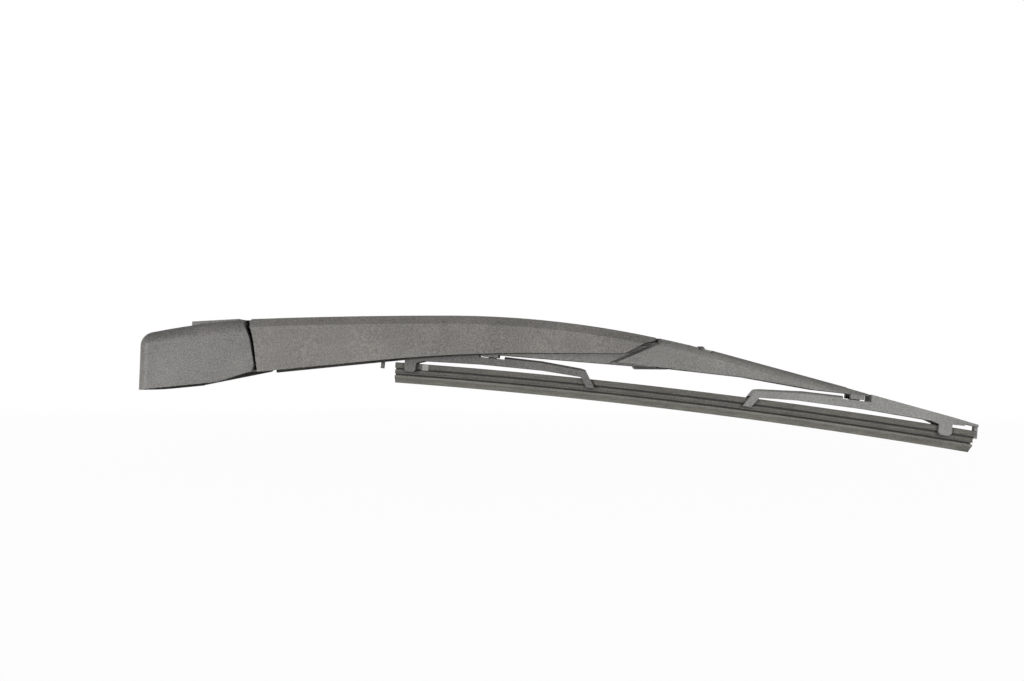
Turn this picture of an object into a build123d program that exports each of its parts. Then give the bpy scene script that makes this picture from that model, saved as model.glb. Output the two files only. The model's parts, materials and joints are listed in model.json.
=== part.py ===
"""Rear wiper arm with its blade: spindle head, nut cover, arched channel arm, bridge, yokes, rubber.

Origin on the spindle axis at the head's seat, Z along the spindle, X along the arm. Millimetres.
"""
import os
from math import cos, degrees, radians, sin, sqrt

from build123d import *

os.makedirs("parts", exist_ok=True)

# Clearances
running_clearance = 0.05
press_clearance = 0.01
side_play = 0.4
stop_gap = 0.3
fork_play = 0.35

# Spindle head
boss_radius = 9.5
boss_height = 15.0
socket_radius = 5.2
socket_length = 9.0
thread_hole_radius = 4.2
neck_web_half_width = 3.6
neck_rim = 3.0
neck_rise_x = 28.0
neck_rise_z = 20.0
neck_root_z = 0.0
nose_low_z = 7.0
lug_half_width = 6.6
lug_radius = 3.0
fork_half_width = 1.6
fork_reach = 5.0

# Hinge pins of arm and cover, and the spring's two pins
hinge_x = 54.4
hinge_z = 31.0
hinge_pin_radius = 2.0
hinge_boss_wall = 1.1
cover_hinge_offset = 9.2
cover_pin_radius = 1.25
pin_reach = 11.0
pin_end_gap = 0.3
spring_pin_radius = 1.8
spring_pin_back = 2.4
spring_pin_drop = 9.5
anchor_x = 112.0
anchor_boss_wall = 1.8
anchor_boss_half_gap = 8.0

# Nut cover
cover_left_x = -14.0
cover_overlap = 0.2
cover_corner_radius = 8.0
cover_edge_radius = 7.7
cover_wall = 2.0
cover_left_crown_z = 26.0
cover_mid_crown_x = 15.0
cover_mid_crown_z = 31.0
cover_crown_margin = 3.2
cover_low_left_z = -5.3
cover_low_bend_x = 33.5
cover_low_bend_z = -0.4
cover_low_right_z = 5.9
cover_low_corner = 2.5
cover_far_bend_x = 12.0
cover_far_bend_z = -2.4
cover_gap = 1.8
cover_crown_gap = 4.8
cover_ear_wall = 1.6
ledge_start_x = 14.3
ledge_start_z = 33.4
ledge_end_z = 34.85
ledge_half_width = 6.0
rest_rib_x = 31.0
rest_rib_thickness = 1.8
rest_rib_half_width = 5.0

# Arm channel
arm_crest_x = 161.0
arm_crest_z = 36.5
arm_end_x = 271.5
arm_end_z = 24.8
arm_root_half_width = 14.3
arm_end_half_width = 9.0
arm_wall = 2.2
arm_roof = 2.3
arm_edge_radius = 4.8
arm_root_margin = 4.2
arm_crown_margin = 3.4
arm_root_chamfer = 0.5
arm_waist_lean = 4.2
arm_waist_z = 20.0
arm_root_lean = 6.5
arm_root_low_z = 5.3
arm_low_bend_x = 120.0
arm_low_bend_z = 11.7
arm_low_flat_x = 212.0
arm_low_flat_z = 16.3
arm_cut_x = 254.9
arm_rib_depth = 3.5
arm_rib_thickness = 1.6
arm_rib_count = 3
arm_rib_first_x = 135.0
arm_rib_pitch = 30.0
web_thickness = 2.0
web_low_z = 8.0
web_top_z = 15.5

# Blade frame: its pivot, and its tilt below the arm
pivot_x = 280.0
pivot_z = 15.75
blade_tilt = 6.3
blade_pin_radius = 2.4
blade_pin_reach = 7.2
pivot_pad_wall = 1.8

# Bridge: s runs along the blade from the pivot, h rises square to it
bridge_half_length = 101.3
bridge_cut_half_width = 9.2
bridge_tip_half_width = 4.9
bridge_narrow_half_width = 6.7
bridge_wall = 1.7
bridge_roof = 1.9
bridge_edge_radius = 4.2
bridge_arc_s = 26.0
bridge_arc_h = 3.75
bridge_tip_top_h = -8.2
bridge_low_h = -7.4
bridge_tip_low_h = -9.8
bridge_low_bend_s = 38.0
bridge_low_run = 21.3
bridge_shoulder_s = -7.6
bridge_shoulder_h = 8.55
bridge_cut_s = -30.0
bridge_cut_top_s = -8.4
bridge_cut_top_h = 5.7
bridge_solid_run = 10.0
narrow_top_h = 5.2
narrow_tip_h = -7.4
narrow_low_h = -7.8
narrow_tip_low_h = -10.7
narrow_edge_radius = 1.2
cut_groove_width = 1.3
cut_groove_depth = 1.0
cut_groove_overrun = 0.2
window_half_width = 5.0
window_left_s = -31.0
window_right_s = 20.0
fork_depth = 5.0

# Yokes and their pivots
pivot_inset = 6.0
yoke_pivot_h = -9.9
pivot_pin_radius = 1.2
pivot_pin_reach = 3.9
pivot_lug_half_length = 3.4
pivot_lug_drop = 2.3
pivot_boss_radius = 2.1
pivot_boss_half_width = 2.4
yoke_half_width = 4.8
yoke_wall = 1.4
yoke_roof = 1.7
yoke_bevel = 1.1
saddle_half_length = 7.0
saddle_floor_h = -12.7
yoke_shoulder_h = -8.9
yoke_end_top_h = -17.85
yoke_arm_top_h = -11.2
yoke_nose_run = 50.8
yoke_nose_h = -13.2
yoke_low_run = 27.3
yoke_low_h = -16.2
yoke_heel_h = -16.8
outer_claw_run = 17.1
inner_claw_run = 54.3
claw_half_length = 3.2
inner_claw_half_length = 2.4
claw_slant = 3.3
claw_haunch = 4.0
claw_tip = 0.7
claw_corner = 1.2
end_wall = 1.6
end_wall_half_width = 1.3
yoke_end_half_width = 1.9
end_wall_depth = 3.8
end_gap = 0.6

# Rubber and its steel rails; depths are measured down from the rubber's top
rubber_length = 302.4
rubber_shift = 3.1
rubber_top_h = -17.5
bow_radius = 3200.0
flange_half_width = 3.2
flange_depth = 3.0
rail_thickness = 0.7
rail_half_width = 2.7
rail_web_half_width = 1.0
rail_play = 0.05
rail_end_gap = 1.5
waist_half_width = 2.3
bead_half_width = 2.75
bead_top = 5.5
bead_bottom = 6.1
groove_half_width = 0.7
groove_bottom = 7.0
shoulder_half_width = 2.6
shoulder_bottom = 8.2
lip_root_half_width = 1.9
lip_half_width = 0.45
rubber_height = 11.2
claw_play = 0.15
rail_tab_s = -132.5
rail_tab_length = 5.6
rail_tab_thickness = 1.0
rail_tab_sink = 0.3

# Blade adapter and the arm's tongue that it holds
adapter_half_width = 4.6
adapter_left = 20.6
adapter_low = 7.6
adapter_right = 12.0
adapter_corner = 2.0
cheek_left = 12.0
tongue_half_width = 3.0
tongue_tip = 9.5
tongue_thickness = 2.3
tongue_slope = 0.0945
tongue_seat = 3.45
tongue_play = 0.1
tongue_bend = 20.0
tongue_root = 38.0
tongue_crest_back = 5.0
tongue_crest_z = 24.2
snap_slot_half_width = 2.0
tab_half_width = 3.4
tab_start = 13.6
tab_length = 3.4
tab_top = 4.6
tab_low = 1.0

# Tension spring
spring_radius = 5.2
spring_wire_radius = 0.9
spring_hook_play = 0.15
coil_start_x = 70.0
coil_end_x = 104.0
coil_count = 17

# Sizes and planes that follow from the ones above
arm_left_x = hinge_x - arm_root_margin
arm_root_z = hinge_z + arm_crown_margin
arm_low_left_x = arm_left_x + arm_root_lean
arm_waist_x = arm_left_x + arm_waist_lean
arm_root_lie = (arm_waist_x - arm_low_left_x, arm_waist_z - arm_root_low_z)
cover_hinge_x = hinge_x - cover_hinge_offset
cover_half_width = arm_root_half_width + cover_overlap
cover_crown_z = hinge_z + cover_crown_margin
cover_notch_x = cover_hinge_x - lug_radius - stop_gap * 2
arm_notch_x = hinge_x + lug_radius + stop_gap * 2
spring_pin_x = hinge_x - spring_pin_back
spring_z = hinge_z - spring_pin_drop
nose_x = hinge_x + lug_radius
ear_inner = lug_half_width + side_play
pad_inner = adapter_half_width + side_play
yoke_pivot_s = bridge_half_length - pivot_inset
yoke_end_s = rubber_shift + rubber_length / 2 + end_gap + end_wall
outer_claw_s = yoke_end_s - outer_claw_run
inner_claw_s = yoke_pivot_s - inner_claw_run
yoke_nose_s = yoke_pivot_s - yoke_nose_run
yoke_low_s = yoke_pivot_s - yoke_low_run
fork_root_s = yoke_pivot_s - fork_depth
bridge_hollow_s = yoke_pivot_s - bridge_solid_run
bridge_low_tip_s = yoke_pivot_s - bridge_low_run
far = 400.0
blade_dir = Vector(cos(radians(blade_tilt)), 0, -sin(radians(blade_tilt)))
blade_up = Vector(sin(radians(blade_tilt)), 0, cos(radians(blade_tilt)))
blade_origin = Vector(pivot_x, 0, pivot_z)
blade_side = Plane(origin=blade_origin, x_dir=blade_dir, z_dir=(0, -1, 0))
blade_plan = Plane(origin=blade_origin, x_dir=blade_dir, z_dir=blade_up)
blade_middle = Plane(origin=blade_origin, x_dir=(0, 1, 0), z_dir=blade_dir)


def finish(builder, name):
    """Label a finished piece and write it."""
    builder.part.label = name
    export_step(builder.part, f"parts/{name}.step")


def cross_pin(name, plane, place, radius, reach):
    """A plain steel pin across the part, centred on the middle plane."""
    with BuildPart() as pin:
        with BuildSketch(plane):
            with Locations(place):
                Circle(radius)
        extrude(amount=reach, both=True)
        chamfer(pin.edges().filter_by(GeomType.CIRCLE), radius * 0.15)
    finish(pin, name)


def arc_radius(run, rise):
    """Radius of the arc that leaves its crest level and falls by rise over run."""
    return (run**2 + rise**2) / (2 * rise)


def arc_drop(run, radius):
    """How far that arc has fallen after run."""
    return radius - sqrt(radius**2 - run**2)


def seat_z(x):
    """Height of the tongue's underside at x."""
    return pivot_z + tongue_seat - tongue_slope * (x - pivot_x)


def bow_h(s):
    """Height of the bowed rubber's top at s along the blade."""
    return rubber_top_h - arc_drop(s, bow_radius)


# Spindle head: boss with stepped spindle bore, webbed neck, hinge lug and spring fork
with BuildPart() as spindle_head:
    with BuildSketch(Plane.XZ):
        with BuildLine():
            lug_top = (hinge_x, hinge_z + lug_radius)
            lug_side = (nose_x, hinge_z)
            crest_start = (cover_hinge_x, hinge_z + lug_radius)
            crest_foot = (cover_hinge_x - lug_radius, hinge_z)
            Line(lug_top, crest_start)
            RadiusArc(crest_foot, crest_start, lug_radius)
            Polyline(
                crest_foot,
                (neck_rise_x, neck_rise_z),
                (boss_radius, boss_height),
                (0, boss_height),
                (0, neck_root_z),
                (nose_x, nose_low_z),
                lug_side,
            )
            RadiusArc(lug_top, lug_side, lug_radius)
        make_face()
    extrude(amount=lug_half_width, both=True)
    with BuildSketch(Plane.XZ) as pocket:
        with BuildLine():
            Polyline(
                (boss_radius + neck_rim, neck_root_z + neck_rim * 1.4),
                (nose_x - fork_reach * 2.4, nose_low_z + neck_rim * 0.6),
                (nose_x - fork_reach * 2.4, spring_z),
                (neck_rise_x + neck_rim, neck_rise_z - neck_rim),
                (boss_radius + neck_rim, boss_height - neck_rim * 0.4),
                close=True,
            )
        make_face()
    pocket_cut = extrude(amount=lug_half_width * 2, both=True, mode=Mode.PRIVATE)
    with BuildSketch(Plane.XZ):
        Rectangle(far, far)
    keep_web = extrude(amount=neck_web_half_width, both=True, mode=Mode.PRIVATE)
    add(pocket_cut - keep_web, mode=Mode.SUBTRACT)
    with BuildSketch():
        Circle(boss_radius)
    extrude(amount=boss_height)
    with BuildSketch(Plane.XZ):
        with Locations((spring_pin_x, spring_z)):
            Circle(fork_reach)
        with Locations((spring_pin_x, spring_z)):
            Rectangle(far, fork_reach * 2, align=(Align.MIN, Align.CENTER))
    extrude(amount=fork_half_width, both=True, mode=Mode.SUBTRACT)
    with BuildSketch(Plane.XZ):
        with BuildLine():
            Polyline(
                (0, 0),
                (socket_radius, 0),
                (socket_radius, socket_length),
                (thread_hole_radius, socket_length + socket_radius - thread_hole_radius),
                (thread_hole_radius, boss_height),
                (0, boss_height),
                close=True,
            )
        make_face()
    revolve(axis=Axis.Z, mode=Mode.SUBTRACT)
    with BuildSketch(Plane.XZ):
        with Locations((hinge_x, hinge_z)):
            Circle(hinge_pin_radius + press_clearance)
        with Locations((cover_hinge_x, hinge_z)):
            Circle(cover_pin_radius + press_clearance)
        with Locations((spring_pin_x, spring_z)):
            Circle(spring_pin_radius + press_clearance)
    extrude(amount=lug_half_width * 2, both=True, mode=Mode.SUBTRACT)
finish(spindle_head, "spindle_head")

cross_pin("hinge_pin", Plane.XZ, (hinge_x, hinge_z), hinge_pin_radius, pin_reach)
cross_pin("cover_pin", Plane.XZ, (cover_hinge_x, hinge_z), cover_pin_radius, pin_reach)
cross_pin("spring_pin", Plane.XZ, (spring_pin_x, spring_z), spring_pin_radius, lug_half_width)


def cover_blank(inset):
    """The cover's crowned form, open-ended at the right and below; inset makes the hollow."""
    with BuildPart() as blank:
        with BuildSketch(Plane.XY.offset(-far / 4)):
            with BuildLine():
                left = cover_left_x + inset
                half = cover_half_width - inset
                FilletPolyline(
                    (far / 4, -half),
                    (left, -half),
                    (left, half),
                    (far / 4, half),
                    radius=cover_corner_radius - inset,
                )
                Line((far / 4, half), (far / 4, -half))
            make_face()
        extrude(amount=far)
        with BuildSketch(Plane.XZ):
            with BuildLine():
                crown = ThreePointArc(
                    (cover_left_x, cover_left_crown_z - inset),
                    (cover_mid_crown_x, cover_mid_crown_z - inset),
                    (cover_hinge_x, cover_crown_z - inset),
                )
                lead_in = Line(crown @ 0 - (crown % 0) * far / 4, crown @ 0)
                lead_out = Line(crown @ 1, crown @ 1 + (crown % 1) * far / 4)
                Polyline(lead_out @ 1, (far, -far), (-far, -far), lead_in @ 0)
            make_face()
        extrude(amount=far, both=True, mode=Mode.INTERSECT)
        rim = blank.faces().filter_by(lambda f: f.normal_at().Z > 0.9).edges()
        rim = rim.filter_by(lambda e: abs(e.center().Y) > 0.1 or e.center().X < cover_left_x + 1 + inset)
        rim = rim.filter_by(lambda e: e.center().X < far / 4 - 1)
        fillet(rim, cover_edge_radius - inset)
    return blank.part


# Nut cover: crowned cap with a stepped ledge, hinge ears and a rib that rests on the head; its far
# wall's lower edge starts to rise earlier than the near one
cover_outer = cover_blank(0)
cover_inner = cover_blank(cover_wall)
with BuildPart() as nut_cover:
    add(cover_outer)
    add(cover_inner, mode=Mode.SUBTRACT)
    with BuildSketch(Plane.XZ):
        with BuildLine():
            Polyline(
                (ledge_start_x, cover_mid_crown_z - cover_wall / 2),
                (ledge_start_x, ledge_start_z),
                (cover_notch_x, ledge_end_z),
                (cover_notch_x, cover_mid_crown_z),
                close=True,
            )
        make_face()
    extrude(amount=ledge_half_width, both=True)
    with BuildSketch(Plane.XZ):
        with Locations((cover_hinge_x, hinge_z)):
            Circle(cover_pin_radius + cover_ear_wall)
        with Locations((cover_hinge_x, hinge_z)):
            Rectangle(cover_pin_radius * 2, cover_crown_margin, align=(Align.CENTER, Align.MIN))
    ears = extrude(amount=cover_half_width, both=True, mode=Mode.PRIVATE)
    with BuildSketch(Plane.XZ):
        Rectangle(far, far)
    ear_gap = extrude(amount=ear_inner, both=True, mode=Mode.PRIVATE)
    add((ears - ear_gap) & cover_outer)
    with BuildSketch(Plane.XZ):
        neck_slope = (hinge_z - neck_rise_z) / (cover_hinge_x - lug_radius - neck_rise_x)
        rib_run = rest_rib_x + rest_rib_thickness - neck_rise_x
        rib_low = neck_rise_z + neck_slope * rib_run + stop_gap
        with Locations((rest_rib_x, rib_low)):
            Rectangle(rest_rib_thickness, far, align=(Align.MIN, Align.MIN))
    rest_rib = extrude(amount=rest_rib_half_width, both=True, mode=Mode.PRIVATE)
    add(rest_rib & cover_outer)
    with BuildSketch(Plane.XZ):
        with BuildLine():
            foot = FilletPolyline(
                (cover_left_x - 1, cover_low_left_z),
                (cover_low_bend_x, cover_low_bend_z),
                (arm_low_left_x - cover_gap - cover_low_corner / 2, cover_low_right_z),
                (arm_low_left_x - cover_gap - 0.2, cover_low_right_z + cover_low_corner * 1.5),
                radius=cover_low_corner,
            )
            waist = (arm_waist_x - cover_gap, arm_waist_z)
            crown_end = (arm_left_x - cover_crown_gap, cover_crown_z)
            Line(foot @ 1, waist)
            TangentArc(waist, crown_end, tangent=arm_root_lie)
            Polyline(crown_end, (crown_end[0], far), (cover_left_x - 1, far), foot @ 0)
        make_face()
    extrude(amount=far, both=True, mode=Mode.INTERSECT)
    with BuildSketch(Plane.XZ):
        with BuildLine():
            low_corner_x = arm_low_left_x - cover_gap - cover_low_corner / 2
            Polyline(
                (cover_far_bend_x, cover_far_bend_z),
                (low_corner_x, cover_low_right_z),
                (low_corner_x, -far),
                (cover_far_bend_x, -far),
                close=True,
            )
        make_face()
    extrude(amount=-far, mode=Mode.SUBTRACT)
    with BuildSketch(Plane.XY.offset(hinge_z - cover_crown_margin)):
        with Locations((cover_notch_x, 0)):
            Rectangle(far, ear_inner * 2, align=(Align.MIN, Align.CENTER))
    extrude(amount=far, mode=Mode.SUBTRACT)
    with BuildSketch(Plane.XZ):
        with Locations((cover_hinge_x, hinge_z)):
            Circle(cover_pin_radius + running_clearance)
    extrude(amount=pin_reach + pin_end_gap, both=True, mode=Mode.SUBTRACT)
finish(nut_cover, "nut_cover")

arm_root_radius = arc_radius(arm_crest_x - arm_left_x, arm_crest_z - arm_root_z)
arm_end_radius = arc_radius(arm_end_x - arm_crest_x, arm_crest_z - arm_end_z)
arm_overrun = 12.0


def arm_half_width(x, inset):
    """Half the arm's width at x."""
    share = (x - arm_left_x) / (arm_end_x - arm_left_x)
    return arm_root_half_width + (arm_end_half_width - arm_root_half_width) * share - inset


def arm_blank(inset, drop, edge_radius):
    """The arm's arched, tapered form, over-long at both ends; inset and drop make its hollow."""
    start = arm_left_x - arm_overrun
    end = arm_end_x + arm_overrun
    crest = (arm_crest_x, arm_crest_z - drop)
    left = (start, arm_crest_z - drop - arc_drop(arm_crest_x - start, arm_root_radius))
    right = (end, arm_crest_z - drop - arc_drop(end - arm_crest_x, arm_end_radius))
    with BuildPart() as blank:
        with BuildSketch(Plane.XZ):
            with BuildLine():
                TangentArc(crest, left, tangent=(-1, 0))
                TangentArc(crest, right, tangent=(1, 0))
                Polyline(left, (start, -far / 4), (end, -far / 4), right)
            make_face()
        extrude(amount=far, both=True)
        with BuildSketch(Plane.XY):
            with BuildLine():
                Polyline(
                    (start, -arm_half_width(start, inset)),
                    (end, -arm_half_width(end, inset)),
                    (end, arm_half_width(end, inset)),
                    (start, arm_half_width(start, inset)),
                    close=True,
                )
            make_face()
        extrude(amount=far, both=True, mode=Mode.INTERSECT)
        roof = blank.faces().filter_by(GeomType.CYLINDER)
        fillet(roof.edges().filter_by(lambda e: abs(e.center().Y) > 1), edge_radius)
    return blank.part


# Arm channel: arched inverted U, cut off aslant over the bridge, with bosses, ribs and a tongue
arm_outer = arm_blank(0, 0, arm_edge_radius)
arm_inner = arm_blank(arm_wall, arm_roof, arm_edge_radius - arm_wall)
with BuildPart() as arm_channel:
    add(arm_outer)
    add(arm_inner, mode=Mode.SUBTRACT)
    for index in range(arm_rib_count):
        with BuildSketch(Plane.XZ):
            rib_x = arm_rib_first_x + index * arm_rib_pitch
            rib_roof = arm_crest_z - arc_drop(rib_x - arm_crest_x, arm_end_radius)
            with Locations((rib_x, rib_roof)):
                Rectangle(arm_rib_thickness, (arm_roof + arm_rib_depth) * 2)
        rib = extrude(amount=far, both=True, mode=Mode.PRIVATE)
        add(rib & arm_outer)
    with BuildSketch(Plane.XZ):
        with Locations((nose_x + stop_gap, web_low_z)):
            Rectangle(web_thickness, web_top_z - web_low_z, align=(Align.MIN, Align.MIN))
    web = extrude(amount=far, both=True, mode=Mode.PRIVATE)
    add(web & arm_outer)
    with BuildSketch(Plane.XZ):
        with BuildLine():
            corner = (arm_left_x, arm_root_z - arm_root_chamfer)
            corner_top = (arm_left_x + arm_root_chamfer * 3, arm_root_z + arm_root_chamfer * 2)
            waist = (arm_waist_x, arm_waist_z)
            bend = (arm_low_bend_x, arm_low_bend_z)
            flat = (arm_low_flat_x, arm_low_flat_z)
            cut = (arm_cut_x, arm_low_flat_z)
            rise = arm_low_bend_z - arm_root_low_z
            cut_top = Vector(arm_end_x, arm_end_z) * 2 - Vector(cut)
            Line(corner_top, corner)
            TangentArc(waist, corner, tangent=arm_root_lie)
            Polyline(waist, (arm_low_left_x, arm_root_low_z), bend)
            TangentArc(bend, flat, tangent=(arm_low_bend_x - arm_low_left_x, rise))
            Polyline(flat, cut, cut_top, (cut_top.X, far), (corner_top[0], far), corner_top)
        make_face()
    extrude(amount=far, both=True, mode=Mode.INTERSECT)
    with BuildSketch(Plane.XY.offset(hinge_z - arm_crown_margin)):
        with Locations((arm_notch_x, 0)):
            Rectangle(far, ear_inner * 2, align=(Align.MAX, Align.CENTER))
    extrude(amount=far, mode=Mode.SUBTRACT)
    with BuildSketch(Plane.XZ):
        with Locations((hinge_x, hinge_z)):
            Circle(hinge_pin_radius + hinge_boss_wall)
    hinge_bosses = extrude(amount=arm_root_half_width, both=True, mode=Mode.PRIVATE)
    with BuildSketch(Plane.XZ):
        Rectangle(far, far)
    lug_gap = extrude(amount=ear_inner, both=True, mode=Mode.PRIVATE)
    add((hinge_bosses - lug_gap) & arm_outer)
    with BuildSketch(Plane.XZ):
        with Locations((anchor_x, spring_z)):
            Circle(spring_pin_radius + anchor_boss_wall)
    anchor_bosses = extrude(amount=arm_root_half_width, both=True, mode=Mode.PRIVATE)
    with BuildSketch(Plane.XZ):
        with Locations((anchor_x, spring_z)):
            Rectangle(far, far)
    anchor_gap = extrude(amount=anchor_boss_half_gap, both=True, mode=Mode.PRIVATE)
    add((anchor_bosses - anchor_gap) & arm_outer)
    with BuildSketch(Plane.XZ):
        with Locations((hinge_x, hinge_z)):
            Circle(hinge_pin_radius + running_clearance)
        with Locations((anchor_x, spring_z)):
            Circle(spring_pin_radius + press_clearance)
    extrude(amount=pin_reach + pin_end_gap, both=True, mode=Mode.SUBTRACT)
    with BuildSketch(Plane.XZ):
        with BuildLine():
            tip_x = pivot_x + tongue_tip
            bend_x = pivot_x - tongue_bend
            root_x = pivot_x - tongue_root
            root_z = arm_crest_z - arc_drop(root_x - arm_crest_x, arm_end_radius) - arm_roof / 2
            roof_x = arm_cut_x + (arm_end_x - arm_cut_x) * 0.5
            roof_z = arm_crest_z - arc_drop(roof_x - arm_crest_x, arm_end_radius) - arm_roof / 2
            Polyline(
                (tip_x, seat_z(tip_x)),
                (tip_x, seat_z(tip_x) + tongue_thickness),
                (pivot_x, seat_z(pivot_x) + tongue_thickness),
                (pivot_x - tongue_crest_back, tongue_crest_z),
                (roof_x, roof_z),
                (root_x, root_z),
                (root_x, root_z - arm_roof),
                (bend_x, seat_z(bend_x)),
                close=True,
            )
        make_face()
    extrude(amount=tongue_half_width, both=True)
finish(arm_channel, "arm_channel")

cross_pin("anchor_pin", Plane.XZ, (anchor_x, spring_z), spring_pin_radius, pin_reach - pin_end_gap)

# Tension spring: close-wound coil with a hook over the head's pin and a loop on the arm's pin
with BuildPart() as tension_spring:
    valley = spring_radius - spring_wire_radius * 0.7
    bore = spring_radius - spring_wire_radius * 2
    pitch = (coil_end_x - coil_start_x) / coil_count
    with BuildSketch(Plane.XZ):
        with BuildLine():
            crests = [(coil_start_x, spring_z + valley)]
            for index in range(coil_count):
                crests.append((coil_start_x + (index + 0.5) * pitch, spring_z + spring_radius))
                crests.append((coil_start_x + (index + 1) * pitch, spring_z + valley))
            Polyline(
                *crests,
                (coil_end_x, spring_z + bore),
                (coil_start_x, spring_z + bore),
                close=True,
            )
        make_face()
    revolve(axis=Axis((0, 0, spring_z), (1, 0, 0)))
    hook_radius = spring_pin_radius + spring_wire_radius + spring_hook_play
    for pin_x, coil_x, side in ((spring_pin_x, coil_start_x, 1), (anchor_x, coil_end_x, -1)):
        with BuildLine(Plane.XZ) as hook:
            inside = (coil_x + side * pitch, spring_z + side * hook_radius)
            over = (pin_x, spring_z + side * hook_radius)
            under = (pin_x, spring_z - side * hook_radius)
            Line(inside, over)
            ThreePointArc(over, (pin_x - side * hook_radius, spring_z), under)
            Line(under, (pin_x + side * spring_wire_radius * 2, spring_z - side * hook_radius))
        with BuildSketch(Plane(origin=hook.line @ 0, z_dir=hook.line % 0)):
            Circle(spring_wire_radius)
        sweep(path=hook.line)
finish(tension_spring, "tension_spring")

# Blade adapter: clip round the blade's pin, with a slot for the tongue and a release tab
with BuildPart() as blade_adapter:
    low_z = pivot_z - adapter_low
    left_x = pivot_x - adapter_left
    right_x = pivot_x + adapter_right
    with BuildSketch(Plane.XZ) as body_side:
        with BuildLine():
            Polyline(
                (left_x, low_z),
                (right_x - adapter_corner, low_z),
                (right_x, low_z + adapter_corner),
                (right_x, seat_z(right_x) - tongue_play),
                (left_x + adapter_corner, seat_z(left_x + adapter_corner) - tongue_play),
                (left_x, seat_z(left_x) - tongue_play - adapter_corner),
                close=True,
            )
        make_face()
        fillet(body_side.vertices().sort_by(Axis.X)[0], adapter_corner * 0.9)
    extrude(amount=adapter_half_width, both=True)
    with BuildSketch(Plane.XZ):
        with BuildLine():
            cheek_x = pivot_x - cheek_left
            end_x = pivot_x + tongue_tip
            Polyline(
                (cheek_x, seat_z(cheek_x) - tongue_thickness),
                (end_x, seat_z(end_x) - tongue_thickness),
                (end_x, seat_z(end_x) + tongue_thickness),
                (cheek_x + tongue_thickness, seat_z(cheek_x) + tongue_thickness * 0.9),
                (cheek_x, seat_z(cheek_x)),
                close=True,
            )
        make_face()
    extrude(amount=adapter_half_width, both=True)
    with BuildSketch(Plane.XZ):
        with BuildLine():
            slot_end = pivot_x + tongue_tip + tongue_play
            slot_start = left_x - adapter_corner
            Polyline(
                (slot_start, seat_z(slot_start) - tongue_play),
                (slot_end, seat_z(slot_end) - tongue_play),
                (slot_end, seat_z(slot_end) + tongue_thickness * 3),
                (slot_start, seat_z(slot_start) + tongue_thickness * 3),
                close=True,
            )
        make_face()
    extrude(amount=tongue_half_width + tongue_play, both=True, mode=Mode.SUBTRACT)
    with BuildSketch(Plane.XZ):
        with BuildLine():
            finger_x = pivot_x + tongue_tip + tongue_play * 2
            tab_x = pivot_x + tab_start
            tab_end = tab_x + tab_length
            Polyline(
                (finger_x, pivot_z),
                (right_x, pivot_z),
                (tab_end, pivot_z + tab_low),
                (tab_end, pivot_z + tab_top - tab_length * 0.3),
                (tab_end - tab_length * 0.3, pivot_z + tab_top),
                (tab_x, pivot_z + tab_top),
                (tab_x - tab_length * 0.2, pivot_z + tab_top - tab_length * 0.4),
                (finger_x, pivot_z + tab_top - tab_length * 0.4),
                close=True,
            )
        make_face()
    extrude(amount=tab_half_width, both=True)
    with BuildSketch(Plane.XZ):
        with Locations((pivot_x, pivot_z)):
            Circle(blade_pin_radius + running_clearance)
        with Locations((pivot_x, pivot_z)):
            Rectangle(snap_slot_half_width * 2, far, align=(Align.CENTER, Align.MAX))
    extrude(amount=far, both=True, mode=Mode.SUBTRACT)
finish(blade_adapter, "blade_adapter")

cross_pin("blade_pin", blade_side, (0, 0), blade_pin_radius, blade_pin_reach)


def bridge_half(s, root_half, inset):
    """Half the bridge's width at s, tapering from its slanted cut to its tip."""
    share = (s - bridge_cut_s) / (bridge_half_length - bridge_cut_s)
    return root_half + (bridge_tip_half_width - root_half) * share - inset


def wide_blank(inset, drop, edge_radius):
    """The bridge's full-width form, right of its slanted cut."""
    tip = (bridge_half_length, bridge_tip_top_h - drop)
    knee = (bridge_arc_s, bridge_arc_h - drop)
    shoulder = (bridge_shoulder_s - bridge_arc_s, bridge_shoulder_h + 1 - drop)
    with BuildPart() as blank:
        with BuildSketch(blade_side):
            with BuildLine():
                Line(tip, knee)
                TangentArc(knee, shoulder, tangent=Vector(knee) - Vector(tip))
                Polyline(
                    shoulder,
                    (shoulder[0], -far),
                    (bridge_half_length, -far),
                    tip,
                )
            make_face()
        extrude(amount=far, both=True)
        with BuildSketch(blade_plan):
            with BuildLine():
                start = shoulder[0]
                root = bridge_cut_half_width
                Polyline(
                    (start, -bridge_half(start, root, inset)),
                    (bridge_half_length, -bridge_half(bridge_half_length, root, inset)),
                    (bridge_half_length, bridge_half(bridge_half_length, root, inset)),
                    (start, bridge_half(start, root, inset)),
                    close=True,
                )
            make_face()
        extrude(amount=far, both=True, mode=Mode.INTERSECT)
        roof = blank.faces().filter_by(lambda f: f.normal_at().Z > 0.9)
        fillet(roof.edges().filter_by(lambda e: abs(e.center().Y) > 1), edge_radius)
    return blank.part


def narrow_blank(inset, drop, edge_radius):
    """The bridge's narrower half, which lies in the arm."""
    tip = (-bridge_half_length, narrow_tip_h - drop)
    root = (bridge_cut_top_s, narrow_top_h - drop)
    tip_half = bridge_tip_half_width - inset
    root_half = bridge_narrow_half_width - inset
    with BuildPart() as blank:
        with BuildSketch(blade_side):
            with BuildLine():
                Polyline(tip, root, (root[0], -far), (tip[0], -far), close=True)
            make_face()
        extrude(amount=far, both=True)
        with BuildSketch(blade_plan):
            with BuildLine():
                Polyline(
                    (tip[0], -tip_half),
                    (root[0], -root_half),
                    (root[0], root_half),
                    (tip[0], tip_half),
                    close=True,
                )
            make_face()
        extrude(amount=far, both=True, mode=Mode.INTERSECT)
        roof = blank.faces().filter_by(lambda f: f.normal_at().Z > 0.9)
        fillet(roof.edges().filter_by(lambda e: abs(e.center().Y) > 1), edge_radius)
    return blank.part


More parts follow.
